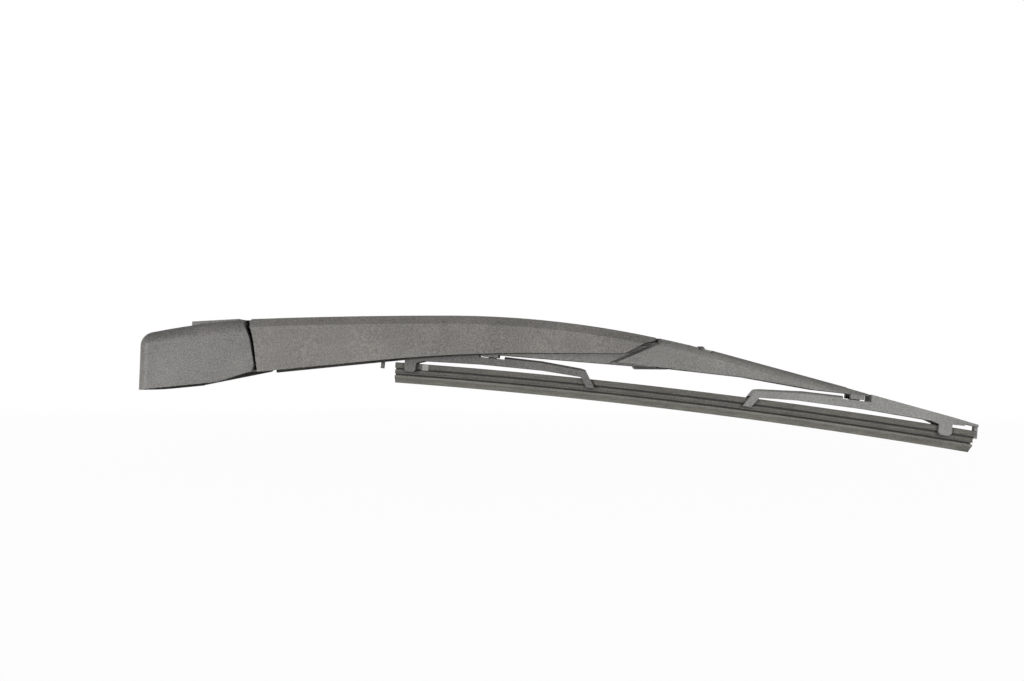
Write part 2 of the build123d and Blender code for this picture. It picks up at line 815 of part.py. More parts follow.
def side_solid(points, half_width):
    """A solid from a closed outline on the blade's side plane."""
    with BuildPart() as solid:
        with BuildSketch(blade_side):
            with BuildLine():
                Polyline(*points, close=True)
            make_face()
        extrude(amount=half_width, both=True)
    return solid.part


# Bridge: tapered inverted U, its left half narrowed to lie in the arm, with a window for the adapter
wide_trim = side_solid(
    (
        (bridge_shoulder_s, far),
        (bridge_shoulder_s, bridge_shoulder_h),
        (bridge_cut_top_s, bridge_cut_top_h),
        (bridge_cut_s, bridge_low_h),
        (bridge_low_bend_s, bridge_low_h),
        (bridge_low_tip_s, bridge_tip_low_h),
        (far, bridge_tip_low_h),
        (far, far),
    ),
    far,
)
narrow_trim = side_solid(
    (
        (bridge_cut_top_s, far),
        (bridge_cut_top_s, narrow_low_h),
        (-yoke_pivot_s, narrow_tip_low_h),
        (-far, narrow_tip_low_h),
        (-far, far),
    ),
    far,
)
hollow_limit = side_solid(
    ((-bridge_hollow_s, -far), (bridge_hollow_s, -far), (bridge_hollow_s, far), (-bridge_hollow_s, far)),
    far,
)
wide_hollow = wide_blank(bridge_wall, bridge_roof, bridge_edge_radius - bridge_wall)
narrow_hollow = narrow_blank(bridge_wall, bridge_roof, narrow_edge_radius / 2)
with BuildPart() as bridge:
    add(wide_blank(0, 0, bridge_edge_radius) & wide_trim)
    add(narrow_blank(0, 0, narrow_edge_radius) & narrow_trim)
    with BuildSketch(blade_side):
        with Locations((yoke_pivot_s, yoke_pivot_h), (-yoke_pivot_s, yoke_pivot_h)):
            Rectangle(pivot_lug_half_length * 2, pivot_lug_drop * 2)
    extrude(amount=bridge_tip_half_width, both=True)
    narrow_reach = side_solid(
        (
            (-far, -far),
            (bridge_cut_top_s, -far),
            (bridge_cut_top_s, far),
            (-far, far),
        ),
        far,
    )
    cut_low = Vector(bridge_cut_s, bridge_low_h)
    cut_top = Vector(bridge_cut_top_s, bridge_cut_top_h)
    groove_low = cut_low - (cut_top - cut_low) * cut_groove_overrun
    groove_shift = Vector(cut_groove_width, 0)
    cut_groove = side_solid((groove_low, cut_top, cut_top - groove_shift, groove_low - groove_shift), far)
    with BuildSketch(blade_side):
        Rectangle(far * 2, far)
    groove_core = extrude(amount=bridge_narrow_half_width - cut_groove_depth, both=True, mode=Mode.PRIVATE)
    add(cut_groove - groove_core, mode=Mode.SUBTRACT)
    add(narrow_hollow & hollow_limit & narrow_reach, mode=Mode.SUBTRACT)
    add((wide_hollow & hollow_limit) - narrow_reach, mode=Mode.SUBTRACT)
    with BuildSketch(blade_side):
        Circle(blade_pin_radius + pivot_pad_wall)
    pads = extrude(amount=bridge_half(0, bridge_cut_half_width, bridge_wall / 2), both=True, mode=Mode.PRIVATE)
    with BuildSketch(blade_side):
        Rectangle(far, far)
    adapter_gap = extrude(amount=pad_inner, both=True, mode=Mode.PRIVATE)
    add(pads - adapter_gap)
    with BuildSketch(blade_plan):
        with Locations((window_left_s, 0)):
            Rectangle(
                window_right_s - window_left_s,
                window_half_width * 2,
                align=(Align.MIN, Align.CENTER),
            )
    extrude(amount=far, both=True, mode=Mode.SUBTRACT)
    with BuildSketch(blade_side):
        Circle(blade_pin_radius + press_clearance)
    extrude(amount=blade_pin_reach + press_clearance, both=True, mode=Mode.SUBTRACT)
    with BuildSketch(blade_plan):
        for end in (-1, 1):
            with Locations((end * (fork_root_s + far / 2), 0)):
                Rectangle(far, (pivot_boss_half_width + fork_play) * 2)
    extrude(amount=far, both=True, mode=Mode.SUBTRACT)
    with BuildSketch(blade_side):
        with Locations((yoke_pivot_s, yoke_pivot_h), (-yoke_pivot_s, yoke_pivot_h)):
            Circle(pivot_pin_radius + press_clearance)
    extrude(amount=pivot_pin_reach + press_clearance, both=True, mode=Mode.SUBTRACT)
finish(bridge, "bridge")

cross_pin("right_pivot_pin", blade_side, (yoke_pivot_s, yoke_pivot_h), pivot_pin_radius, pivot_pin_reach)
cross_pin("left_pivot_pin", blade_side, (-yoke_pivot_s, yoke_pivot_h), pivot_pin_radius, pivot_pin_reach)

# Yokes: arched inverted U with a saddle for the bridge's fork, two pairs of claws and an end wall
claw_depth = flange_depth + rail_play * 2 + rail_thickness + claw_play + claw_tip
outer_claw_low = bow_h(outer_claw_s) - claw_depth
inner_claw_low = bow_h(inner_claw_s) - claw_depth
saddle_left = yoke_pivot_s - saddle_half_length
saddle_right = yoke_pivot_s + saddle_half_length
claw_right = outer_claw_s + claw_half_length
claw_left = outer_claw_s - claw_half_length
nose_right = inner_claw_s + inner_claw_half_length
nose_left = inner_claw_s - inner_claw_half_length
wall_s = yoke_end_s - end_wall
end_slope = (yoke_end_top_h - yoke_shoulder_h) / (yoke_end_s - saddle_right)
roof_at_wall = yoke_shoulder_h + end_slope * (wall_s - saddle_right) - yoke_roof
yoke_outline = (
    (saddle_right, yoke_shoulder_h),
    (yoke_end_s, yoke_end_top_h),
    (yoke_end_s, roof_at_wall),
    (claw_right, roof_at_wall),
    (claw_right, outer_claw_low + claw_corner),
    (claw_right - claw_corner, outer_claw_low),
    (claw_left + claw_corner, outer_claw_low),
    (claw_left, outer_claw_low + claw_corner),
    (claw_left, bow_h(outer_claw_s) + claw_play * 4),
    (claw_left - claw_haunch, bow_h(outer_claw_s) + claw_haunch * 0.5),
    (saddle_right, yoke_heel_h),
    (yoke_low_s, yoke_low_h),
    (nose_right + claw_slant, bow_h(nose_right) + claw_play * 4),
    (nose_right, inner_claw_low + claw_corner / 2),
    (nose_right - claw_corner / 2, inner_claw_low),
    (nose_left, inner_claw_low),
    (yoke_nose_s, yoke_nose_h),
    (yoke_nose_s + yoke_bevel * 2, yoke_nose_h + yoke_bevel / 2),
    (yoke_low_s, yoke_arm_top_h),
    (saddle_left, yoke_arm_top_h),
    (saddle_left, saddle_floor_h),
    (saddle_right, saddle_floor_h),
)
yoke_groove = (
    (nose_left - 1, -far),
    (nose_left - 1, bow_h(nose_left) + yoke_roof * 0.6),
    (inner_claw_s + claw_slant * 0.6, bow_h(inner_claw_s) + yoke_roof * 0.6),
    (yoke_nose_s + claw_haunch, yoke_nose_h - yoke_roof * 0.8),
    (yoke_low_s, yoke_arm_top_h - yoke_roof),
    (saddle_left - yoke_roof * 2, yoke_arm_top_h - yoke_roof),
    (saddle_left - yoke_roof, saddle_floor_h - yoke_roof),
    (saddle_right + yoke_roof, saddle_floor_h - yoke_roof),
    (saddle_right + yoke_roof * 2, yoke_shoulder_h - yoke_roof * 2),
    (yoke_end_s + 1, roof_at_wall),
    (yoke_end_s + 1, -far),
)
end_wall_outline = (
    (wall_s, roof_at_wall + yoke_roof / 2),
    (yoke_end_s, roof_at_wall),
    (yoke_end_s, bow_h(yoke_end_s) - end_wall_depth),
    (wall_s, bow_h(yoke_end_s) - end_wall_depth),
)
with BuildPart() as right_yoke:
    yoke_form = side_solid(yoke_outline, yoke_half_width)
    add(yoke_form)
    top_edges = right_yoke.edges().filter_by(lambda e: abs(abs(e.center().Y) - yoke_half_width) < 0.01)
    top_edges = top_edges.filter_by(
        lambda e: yoke_arm_top_h - yoke_roof < blade_side.to_local_coords(e.center()).Y < yoke_arm_top_h + 0.1
        and yoke_nose_s - 1 < blade_side.to_local_coords(e.center()).X < saddle_left - 1
    )
    chamfer(top_edges, yoke_bevel)
    with BuildSketch(blade_plan):
        with BuildLine():
            Polyline(
                (claw_right, -yoke_half_width),
                (yoke_end_s, -yoke_end_half_width),
                (yoke_end_s, yoke_end_half_width),
                (claw_right, yoke_half_width),
                (0, yoke_half_width),
                (0, -yoke_half_width),
                close=True,
            )
        make_face()
    extrude(amount=far, both=True, mode=Mode.INTERSECT)
    add(side_solid(yoke_groove, yoke_half_width - yoke_wall), mode=Mode.SUBTRACT)
    add(side_solid(end_wall_outline, end_wall_half_width))
    for claw_s, claw_low in ((outer_claw_s, outer_claw_low), (inner_claw_s, inner_claw_low)):
        with BuildSketch(blade_side):
            with Locations((claw_s, claw_low)):
                Rectangle(claw_haunch * 3, claw_tip, align=(Align.CENTER, Align.MIN))
        strip = extrude(amount=yoke_half_width - yoke_wall / 2, both=True, mode=Mode.PRIVATE)
        with BuildSketch(blade_side):
            Rectangle(far * 2, far)
        throat = extrude(amount=waist_half_width + claw_play, both=True, mode=Mode.PRIVATE)
        add((strip & yoke_form) - throat)
    with BuildSketch(blade_side):
        with Locations((yoke_pivot_s, yoke_pivot_h)):
            Circle(pivot_boss_radius)
            Rectangle(
                pivot_boss_radius * 2,
                yoke_pivot_h - saddle_floor_h + yoke_roof / 2,
                align=(Align.CENTER, Align.MAX),
            )
    extrude(amount=pivot_boss_half_width, both=True)
    with BuildSketch(blade_side):
        with Locations((yoke_pivot_s, yoke_pivot_h)):
            Circle(pivot_pin_radius + running_clearance)
    extrude(amount=far, both=True, mode=Mode.SUBTRACT)
finish(right_yoke, "right_yoke")

with BuildPart() as left_yoke:
    mirror(right_yoke.part, about=blade_middle)
finish(left_yoke, "left_yoke")

# Rubber and rails: sections turned about the centre of the blade's bow
bow_centre = blade_origin + blade_up * (rubber_top_h - bow_radius)
bow_axis = Axis(bow_centre, (0, 1, 0))


def bow_plane(s):
    """Section plane square to the bowed blade, at the length s from its middle."""
    turn = s / bow_radius
    outward = blade_dir * sin(turn) + blade_up * cos(turn)
    along = blade_dir * cos(turn) - blade_up * sin(turn)
    return Plane(origin=bow_centre + outward * bow_radius, x_dir=(0, 1, 0), z_dir=along)


rubber_start = rubber_shift - rubber_length / 2
slot_bottom = flange_depth + rail_thickness + rail_play * 2
with BuildPart() as wiper_rubber:
    with BuildSketch(bow_plane(rubber_start)):
        with BuildLine():
            flank = Polyline(
                (0, 0),
                (flange_half_width, 0),
                (flange_half_width, -flange_depth),
                (rail_web_half_width, -flange_depth),
                (rail_web_half_width, -slot_bottom),
                (waist_half_width, -slot_bottom),
                (waist_half_width, -bead_top),
                (bead_half_width, -bead_top),
                (bead_half_width, -bead_bottom),
                (groove_half_width, -bead_bottom),
                (groove_half_width, -groove_bottom),
                (shoulder_half_width, -groove_bottom),
                (shoulder_half_width, -shoulder_bottom),
                (lip_root_half_width, -shoulder_bottom - groove_half_width),
                (lip_half_width, -rubber_height),
                (0, -rubber_height),
            )
            mirror(flank, about=Plane.YZ)
        make_face()
    revolve(axis=bow_axis, revolution_arc=degrees(rubber_length / bow_radius))
    with BuildSketch(bow_plane(rail_tab_s)):
        for side in (-1, 1):
            with Locations((side * flange_half_width, -flange_depth)):
                Rectangle(
                    (rail_tab_thickness + rail_play) * 2,
                    flange_depth * 4,
                    align=(Align.CENTER, Align.MIN),
                )
    extrude(amount=rail_tab_length / 2 + rail_play * 4, both=True, mode=Mode.SUBTRACT)
finish(wiper_rubber, "wiper_rubber")

for name, side in (("rail_near", -1), ("rail_far", 1)):
    with BuildPart() as rail:
        rail_width = rail_half_width - rail_web_half_width - rail_play
        with BuildSketch(bow_plane(rubber_start + rail_end_gap)):
            with Locations((side * (rail_half_width - rail_width / 2), -flange_depth - rail_play)):
                Rectangle(rail_width, rail_thickness, align=(Align.CENTER, Align.MAX))
        rail_length = rubber_length - rail_end_gap * 2
        revolve(axis=bow_axis, revolution_arc=degrees(rail_length / bow_radius))
        with BuildSketch(bow_plane(rail_tab_s)):
            tab_y = side * (flange_half_width - rail_tab_thickness / 2)
            with Locations((tab_y, -flange_depth - rail_play - rail_thickness / 2)):
                Rectangle(
                    rail_tab_thickness,
                    flange_depth + rail_thickness / 2 - rail_tab_sink,
                    align=(Align.CENTER, Align.MIN),
                )
        extrude(amount=rail_tab_length / 2, both=True)
    finish(rail, name)
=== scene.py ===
"""Dresses the rear wiper arm: moulded plastic with soft edges, extruded rubber, wound spring, stage."""

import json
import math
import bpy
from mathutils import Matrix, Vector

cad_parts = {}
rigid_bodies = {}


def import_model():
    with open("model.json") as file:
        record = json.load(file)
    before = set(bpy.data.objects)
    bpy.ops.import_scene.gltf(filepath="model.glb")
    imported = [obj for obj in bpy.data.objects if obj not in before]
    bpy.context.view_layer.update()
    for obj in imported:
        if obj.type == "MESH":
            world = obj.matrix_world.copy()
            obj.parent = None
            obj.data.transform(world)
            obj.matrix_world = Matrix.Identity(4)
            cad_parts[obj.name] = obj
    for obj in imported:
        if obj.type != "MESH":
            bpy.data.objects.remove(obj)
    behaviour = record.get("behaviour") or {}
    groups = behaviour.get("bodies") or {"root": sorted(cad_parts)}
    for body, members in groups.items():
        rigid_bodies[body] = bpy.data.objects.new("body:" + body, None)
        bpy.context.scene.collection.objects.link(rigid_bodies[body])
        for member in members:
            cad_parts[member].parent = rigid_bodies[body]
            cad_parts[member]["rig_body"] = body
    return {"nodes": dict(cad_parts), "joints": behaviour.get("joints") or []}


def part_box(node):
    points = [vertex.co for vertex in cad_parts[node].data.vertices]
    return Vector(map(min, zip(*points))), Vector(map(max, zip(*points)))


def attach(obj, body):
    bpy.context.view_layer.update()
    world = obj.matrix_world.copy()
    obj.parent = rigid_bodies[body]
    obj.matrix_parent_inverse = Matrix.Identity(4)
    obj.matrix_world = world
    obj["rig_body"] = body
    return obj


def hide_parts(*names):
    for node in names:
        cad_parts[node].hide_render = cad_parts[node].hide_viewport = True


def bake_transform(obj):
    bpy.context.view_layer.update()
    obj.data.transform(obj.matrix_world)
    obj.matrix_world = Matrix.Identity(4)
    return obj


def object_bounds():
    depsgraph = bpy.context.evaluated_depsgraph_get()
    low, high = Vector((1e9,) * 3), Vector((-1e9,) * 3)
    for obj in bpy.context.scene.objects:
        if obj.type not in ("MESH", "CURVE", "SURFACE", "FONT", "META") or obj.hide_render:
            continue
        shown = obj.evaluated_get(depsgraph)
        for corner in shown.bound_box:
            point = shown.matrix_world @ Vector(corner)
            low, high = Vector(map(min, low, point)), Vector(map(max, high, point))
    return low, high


bl_info = {
    "name": "Wiper arm dressing",
    "version": (1, 0, 0),
    "blender": (4, 5, 0),
    "location": "View3D > Sidebar > Wiper",
    "description": "Moulded pieces, rubber, spring, metal finishes and stage of a rear wiper arm",
    "category": "Object",
}

import bmesh
import bpy
from bpy.props import FloatProperty, FloatVectorProperty, IntProperty, PointerProperty
from mathutils import Quaternion, Vector

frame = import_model()
CAD_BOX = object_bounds()
JOINTS = {joint["name"]: joint for joint in frame["joints"]}
ACROSS = Vector((0, 1, 0))

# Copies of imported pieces: points this close are merged, flatter edges dissolved, sharper ones rounded
MERGE_DISTANCE = 1e-6
FLAT_ANGLE = math.radians(0.4)
SHARP_ANGLE = math.radians(20)

# Strips and wire: edges over these angles stay sharp
STRIP_CREASE = math.radians(35)
WIRE_CREASE = math.radians(50)

# Shoulders: a face's normal tells whether it is flank, round, roof, end or the wall of an opening
NORMAL_SLACK = 0.01
END_LEAN = 0.4
OPENING_LEAN = 0.5
FLANK_TILT = 0.03
ROOF_TILT = 1.55

# Steps along the rubber, along a rail, and on both sides of the notch for a rail's tab
RUBBER_STEP = 0.0025
RAIL_STEP = 0.004
NOTCH_STEP = 0.00001

# The lip's hollow taper, as half widths and depths below the rubber's top
LIP_TAPER = ((0.0019, 0.0089), (0.00115, 0.0099), (0.00055, 0.0109))

# Spring: points on each turn of the coil and on the hook's bend, and sides of the wire
COIL_STEPS = 28
HOOK_STEPS = 16
WIRE_SIDES = 12

# Directions of drawn and turned lines on steel, as noise scales
ALONG_STRIP = (60.0, 1500.0, 1500.0)
ALONG_PIN = (1200.0, 90.0, 1200.0)
ROUND_WIRE = (900.0, 900.0, 900.0)

# Lamps: name, place and aim from the camera's target, width and height, all in metres, and watts
LAMPS = (
    ("front", (-1.8, -1.8, 0.05), (0, 0, 0), (0.9, 0.14), 42.0),
    ("fill", (0.6, -0.9, 0.03), (0.2, 0, 0), (0.4, 0.12), 4.0),
    ("rear", (0.3, 1.1, 0.3), (0, 0, 0), (0.8, 0.4), 2.0),
)

# Strength of the world's soft light, and the floor's half width and its gap under the part
SOFT_LEVEL = 0.15
FLOOR_REACH = 6.0
FLOOR_GAP = 0.001


def length(name, description, default):
    """A length in metres that the user can change."""
    return FloatProperty(
        name=name, description=description, default=default, min=0, precision=5,
        subtype="DISTANCE", unit="LENGTH",
    )


def spot(name, description, default):
    """A point of the blade, along it from its pivot and square above it, that the user can change."""
    return FloatVectorProperty(
        name=name, description=description, default=default, size=2, precision=5, unit="LENGTH",
    )


def ratio(name, description, default):
    """A share from 0 to 1 that the user can change."""
    return FloatProperty(name=name, description=description, default=default, min=0, max=1)


def tint(name, description, default):
    """A colour that the user can change."""
    return FloatVectorProperty(
        name=name, description=description, default=default, size=3, min=0, max=1, subtype="COLOR",
    )


class WiperSizes(bpy.types.PropertyGroup):
    """Sizes of the dressed pieces."""

    blade_tilt: FloatProperty(
        name="Blade tilt", description="Fall of the blade below the arm", default=math.radians(6.3),
        subtype="ANGLE", unit="ROTATION",
    )
    moulded_edge: length("Moulded edge", "Rounding of moulded plastic edges", 0.0006)
    fine_edge: length("Fine edge", "Rounding of the blade's moulded edges", 0.00035)
    cast_edge: length("Cast edge", "Rounding of the cast head's edges", 0.0005)
    arm_shoulder: length("Arm shoulder", "Height of the slant on the arm's flank", 0.0048)
    arm_slant: ratio("Arm slant", "How far the round of the arm's shoulder is flattened", 1.0)
    bridge_shoulder: length("Bridge shoulder", "Height of the slant on the bridge's flank", 0.0042)
    bridge_slant: ratio("Bridge slant", "How far the round of the bridge's shoulder is flattened", 0.5)
    lug_place: length("Lug place", "Fork lugs from the blade pivot", 0.0953)
    lug_length: length("Lug length", "Length of a fork lug", 0.0068)
    lug_half_width: length("Lug half width", "Half the width over a fork's lugs", 0.0049)
    lug_top: length("Lug top", "Top of a lug's block below the blade pivot", 0.0076)
    lug_flank_top: length("Lug flank top", "Top of a lug's flank below the blade pivot", 0.0097)
    lug_end_top: length("Lug end top", "Top of a lug at the bridge's tip, below the blade pivot", 0.0083)
    left_lug_growth: length("Left lug growth", "How much longer the sheltered lug is", 0.0029)
    corner_margin: length("Corner margin", "Room for finding the bridge's corners", 0.0003)
    step_foot: spot("Step foot", "Foot of the bridge's slanted step", (-0.0300, -0.0074))
    step_top: spot("Step top", "Top of the bridge's slanted step", (-0.0084, 0.0057))
    step_bevel: length("Step bevel", "How far the step's outer edge is drawn back", 0.0024)
    step_run: length("Step run", "Length of flank over which the drawn edge is taken up", 0.014)
    step_inner: length("Step inner", "Half width from which the flank is drawn back in full", 0.0076)
    step_crown: length("Step crown", "Half width up to which the roof stays", 0.0052)
    step_foot_share: ratio("Step foot share", "Share of the bevel at the step's foot", 0.55)
    step_sink: ratio("Step sink", "Fall of the roof past the step", 0.1)
    bow_radius: length("Bow radius", "Radius of the unloaded blade", 3.2)
    rubber_length: length("Rubber length", "Length of the rubber", 0.3024)
    rubber_shift: length("Rubber shift", "Shift of the rubber towards the outer end", 0.0031)
    rubber_drop: length("Rubber drop", "Rubber top below the blade pivot", 0.0175)
    rubber_height: length("Rubber height", "Rubber from top to lip edge", 0.0112)
    lip_slant: length("Lip slant", "How far the lip's outer end is cut back", 0.0006)
    flange_half_width: length("Flange half width", "Half the width of the rubber's flange", 0.0032)
    flange_depth: length("Flange depth", "Depth of the flange", 0.003)
    flange_round: length("Flange round", "Bevel of the flange's corners", 0.0003)
    waist_half_width: length("Waist half width", "Half the width under the rails", 0.0023)
    waist_depth: length("Waist depth", "End of the waist below the rubber's top", 0.00545)
    bead_half_width: length("Bead half width", "Half the width of the bead", 0.00275)
    bead_top: length("Bead top", "Start of the bead below the rubber's top", 0.0056)
    bead_depth: length("Bead depth", "End of the bead below the rubber's top", 0.0061)
    neck_half_width: length("Neck half width", "Half the width left in the groove", 0.0007)
    groove_depth: length("Groove depth", "End of the groove below the rubber's top", 0.0070)
    lip_half_width: length("Lip half width", "Half the width of the lip's root", 0.0026)
    lip_round: length("Lip round", "Bevel of the lip's upper corners", 0.0002)
    lip_root_depth: length("Lip root depth", "End of the lip's root below the rubber's top", 0.0082)
    lip_edge_half_width: length("Lip edge", "Half the width of the lip's edge", 0.00045)
    rail_thickness: length("Rail thickness", "Thickness of the steel rails", 0.0007)
    rail_half_width: length("Rail half width", "Rail's outer edge from the middle", 0.0027)
    rail_web_half_width: length("Rail web", "Half the rubber left between the rails", 0.001)
    rail_play: length("Rail play", "Play of a rail in its slot", 0.00005)
    rail_end_gap: length("Rail end gap", "Rail end short of the rubber's end", 0.0015)
    rail_tab_place: length("Rail tab place", "Rail tab left of the blade pivot", 0.1313)
    rail_tab_length: length("Rail tab length", "Length of a rail's tab", 0.0036)
    rail_tab_thickness: length("Rail tab thickness", "Thickness of a rail's tab", 0.001)
    rail_tab_sink: length("Rail tab sink", "Rail tab below the rubber's top", 0.0003)
    claw_place: length("Claw place", "Inner claw from the blade pivot", 0.0410)
    spring_radius: length("Spring radius", "Outer radius of the coil", 0.0052)
    wire_radius: length("Wire radius", "Radius of the spring's wire", 0.0009)
    hook_play: length("Hook play", "Play between hook and pin", 0.00015)
    coil_count: IntProperty(name="Coils", description="Turns of the spring", default=17, min=3)
    coil_start: length("Coil start", "Where the coil starts along the arm", 0.070)
    coil_end: length("Coil end", "Where the coil ends along the arm", 0.104)


class WiperColours(bpy.types.PropertyGroup):
    """Colours of the finishes."""

    cover: tint("Cover", "Nut cover plastic", (0.176, 0.170, 0.160))
    arm: tint("Arm", "Arm plastic", (0.220, 0.211, 0.195))
    bridge: tint("Bridge", "Bridge plastic", (0.228, 0.223, 0.210))
    yoke: tint("Yoke", "Yoke plastic", (0.275, 0.271, 0.260))
    # Painted shade: a darker copy of the yoke plastic, for the yoke that lies in the arm's shadow.
    shadowed_yoke: tint("Shadowed yoke", "Yoke plastic under the arm", (0.160, 0.156, 0.148))
    adapter: tint("Adapter", "Adapter plastic", (0.040, 0.040, 0.039))
    rubber: tint("Rubber", "Bare rubber", (0.136, 0.131, 0.117))
    # Partly a graphite coat on the lip, partly painted light on the lip's side that faces the lamps.
    lip: tint("Lip", "Coated and lit lip of the rubber", (0.203, 0.197, 0.174))
    steel: tint("Steel", "Plain steel", (0.42, 0.41, 0.40))
    casting: tint("Casting", "Coated casting", (0.025, 0.025, 0.025))


class StageSettings(bpy.types.PropertyGroup):
    """Where the camera stands and what it looks at."""

    lens: FloatProperty(name="Lens", description="Focal length in millimetres", default=26.016)
    azimuth: FloatProperty(
        name="Azimuth", description="Camera's turn to the right", default=math.radians(5.5), subtype="ANGLE",
    )
    elevation: FloatProperty(
        name="Elevation", description="Camera's height angle", default=math.radians(-3.5), subtype="ANGLE",
    )
    roll: FloatProperty(
        name="Roll", description="Camera's turn about its view", default=math.radians(0.461), subtype="ANGLE",
    )
    distance: length("Distance", "Camera from its target", 0.400)
    target: FloatVectorProperty(
        name="Target", description="Point that the camera looks at", default=(0.194786, -0.004, 0.02319),
        subtype="TRANSLATION",
    )


def sizes():
    """The scene's sizes."""
    return bpy.context.scene.wiper_sizes


def colours():
    """The scene's colours."""
    return bpy.context.scene.wiper_colours


def add_object(name, mesh):
    """Link a mesh as a new object."""
    piece = bpy.data.objects.new(name, mesh)
    bpy.context.scene.collection.objects.link(piece)
    return piece


def mesh_from(name, points, faces):
    """A mesh from points and faces, with outward normals."""
    mesh = bpy.data.meshes.new(name)
    mesh.from_pydata([tuple(point) for point in points], [], faces)
    work = bmesh.new()
    work.from_mesh(mesh)
    bmesh.ops.recalc_face_normals(work, faces=work.faces)
    work.to_mesh(mesh)
    work.free()
    return mesh


def apply_modifiers(piece):
    """Turn a piece's modifiers into its mesh."""
    graph = bpy.context.evaluated_depsgraph_get()
    mesh = bpy.data.meshes.new_from_object(piece.evaluated_get(graph))
    piece.modifiers.clear()
    piece.data = mesh


def set_material(piece, material):
    """Give a piece one material in place of its own."""
    piece.data.materials.clear()
    piece.data.materials.append(material)


def outward_tilt(face, side):
    """How far a face leans upwards between flank and roof, in radians; None where it is neither."""
    across = face.normal.y * side
    if min(across, face.normal.z) < -NORMAL_SLACK or abs(face.normal.x) > END_LEAN:
        return None
    return math.atan2(face.normal.z, across)


def flatten_shoulder(work, verts, radius, share):
    """Turn the round between flank and roof into a slanted shoulder, by a share of the way."""
    moves = []
    for vert in verts:
        side = math.copysign(1, vert.co.y)
        tilts = [outward_tilt(face, side) for face in vert.link_faces]
        tilts = [tilt for tilt in tilts if tilt is not None]
        on_opening = any(face.normal.y * side < -OPENING_LEAN for face in vert.link_faces)
        if not tilts or on_opening or min(tilts) < FLANK_TILT or max(tilts) > ROOF_TILT:
            continue
        tilt = (min(tilts) + max(tilts)) / 2
        inward = radius * share * (1 - 1 / (math.cos(tilt) + math.sin(tilt)))
        moves.append((vert, inward, tilt))
    for vert, inward, tilt in moves:
        vert.co.y -= math.copysign(inward * math.cos(tilt), vert.co.y)
        vert.co.z -= inward * math.sin(tilt)
    work.normal_update()


def softened(node, edge, reshape=None):
    """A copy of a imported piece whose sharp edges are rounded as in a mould; it replaces the piece."""
    source = frame["nodes"][node]
    work = bmesh.new()
    work.from_mesh(source.data)
    bmesh.ops.remove_doubles(work, verts=work.verts, dist=MERGE_DISTANCE)
    if reshape:
        reshape(work)
    bmesh.ops.dissolve_limit(
        work, angle_limit=FLAT_ANGLE, verts=work.verts, edges=work.edges, delimit=set(),
    )
    for face in work.faces:
        face.smooth = True
    mesh = bpy.data.meshes.new(node + "_soft")
    work.to_mesh(mesh)
    work.free()
    piece = add_object(node + "_soft", mesh)
    bevel = piece.modifiers.new("edge", "BEVEL")
    bevel.limit_method = "ANGLE"
    bevel.angle_limit = SHARP_ANGLE
    bevel.width = edge
    bevel.segments = 2
    bevel.harden_normals = True
    bevel.miter_outer = "MITER_ARC"
    shade = piece.modifiers.new("shade", "WEIGHTED_NORMAL")
    shade.keep_sharp = True
    apply_modifiers(piece)
    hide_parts(node)
    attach(piece, source["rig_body"])
    return piece


def blade_point(along, height, across):
    """A point given along the blade from its pivot, square above it and across it."""
    tilt = sizes().blade_tilt
    pivot = Vector(JOINTS["blade_rock"]["pos_m"])
    forward = Vector((math.cos(tilt), 0, -math.sin(tilt)))
    upward = Vector((math.sin(tilt), 0, math.cos(tilt)))
    return pivot + forward * along + upward * height + ACROSS * across


def blade_place(point):
    """How far a point lies along the blade from its pivot, and how high above it."""
    tilt = sizes().blade_tilt
    offset = point - Vector(JOINTS["blade_rock"]["pos_m"])
    along = offset.x * math.cos(tilt) - offset.z * math.sin(tilt)
    height = offset.x * math.sin(tilt) + offset.z * math.cos(tilt)
    return along, height


def bowed_point(along, depth, across):
    """A point at a length along the bowed rubber and a depth below its top."""
    radius = sizes().bow_radius
    turn = along / radius
    reach = radius - depth
    height = reach * math.cos(turn) - radius - sizes().rubber_drop
    return blade_point(reach * math.sin(turn), height, across)


def bowed_strip(name, section_at, stations, cut_back=None, closed_start=False, closed_end=False):
    """A strip along the bowed blade, with its section at each place; cut_back trims its far end."""
    points = []
    for index, place in enumerate(stations):
        section = section_at(place)
        for across, depth in section:
            last = cut_back and index == len(stations) - 1
            points.append(bowed_point(place - cut_back(depth) if last else place, depth, across))
    count = len(section)
    faces = []
    for row in range(len(stations) - 1):
        for corner in range(count):
            near = row * count + corner
            side = row * count + (corner + 1) % count
            faces.append((near, side, side + count, near + count))
    if closed_start:
        faces.append(tuple(range(count)))
    if closed_end:
        faces.append(tuple(range(len(points) - count, len(points))))
    return mesh_from(name, points, faces)


def evenly(start, end, step):
    """Places from start to end, no further apart than step."""
    count = max(1, math.ceil(abs(end - start) / step))
    return [start + (end - start) * index / count for index in range(count + 1)]


def tube(name, path, radius, sides):
    """A round wire along a path of points that starts lengthwise, closed at both ends."""
    points = []
    normal = None
    for index, place in enumerate(path):
        before = path[max(index - 1, 0)]
        after = path[min(index + 1, len(path) - 1)]
        tangent = (after - before).normalized()
        if normal is None:
            normal = tangent.cross(ACROSS)
        normal = (normal - tangent * normal.dot(tangent)).normalized()
        binormal = tangent.cross(normal)
        for side in range(sides):
            turn = math.tau * side / sides
            points.append(place + (normal * math.cos(turn) + binormal * math.sin(turn)) * radius)
    faces = []
    for row in range(len(path) - 1):
        for side in range(sides):
            near = row * sides + side
            far = row * sides + (side + 1) % sides
            faces.append((near, far, far + sides, near + sides))
    faces.append(tuple(range(sides)))
    faces.append(tuple(range(len(points) - sides, len(points))))
    return mesh_from(name, points, faces)


def shade_smooth(mesh, angle):
    """Smooth shading with edges over the angle kept sharp."""
    for polygon in mesh.polygons:
        polygon.use_smooth = True
    mesh.set_sharp_from_angle(angle=angle)


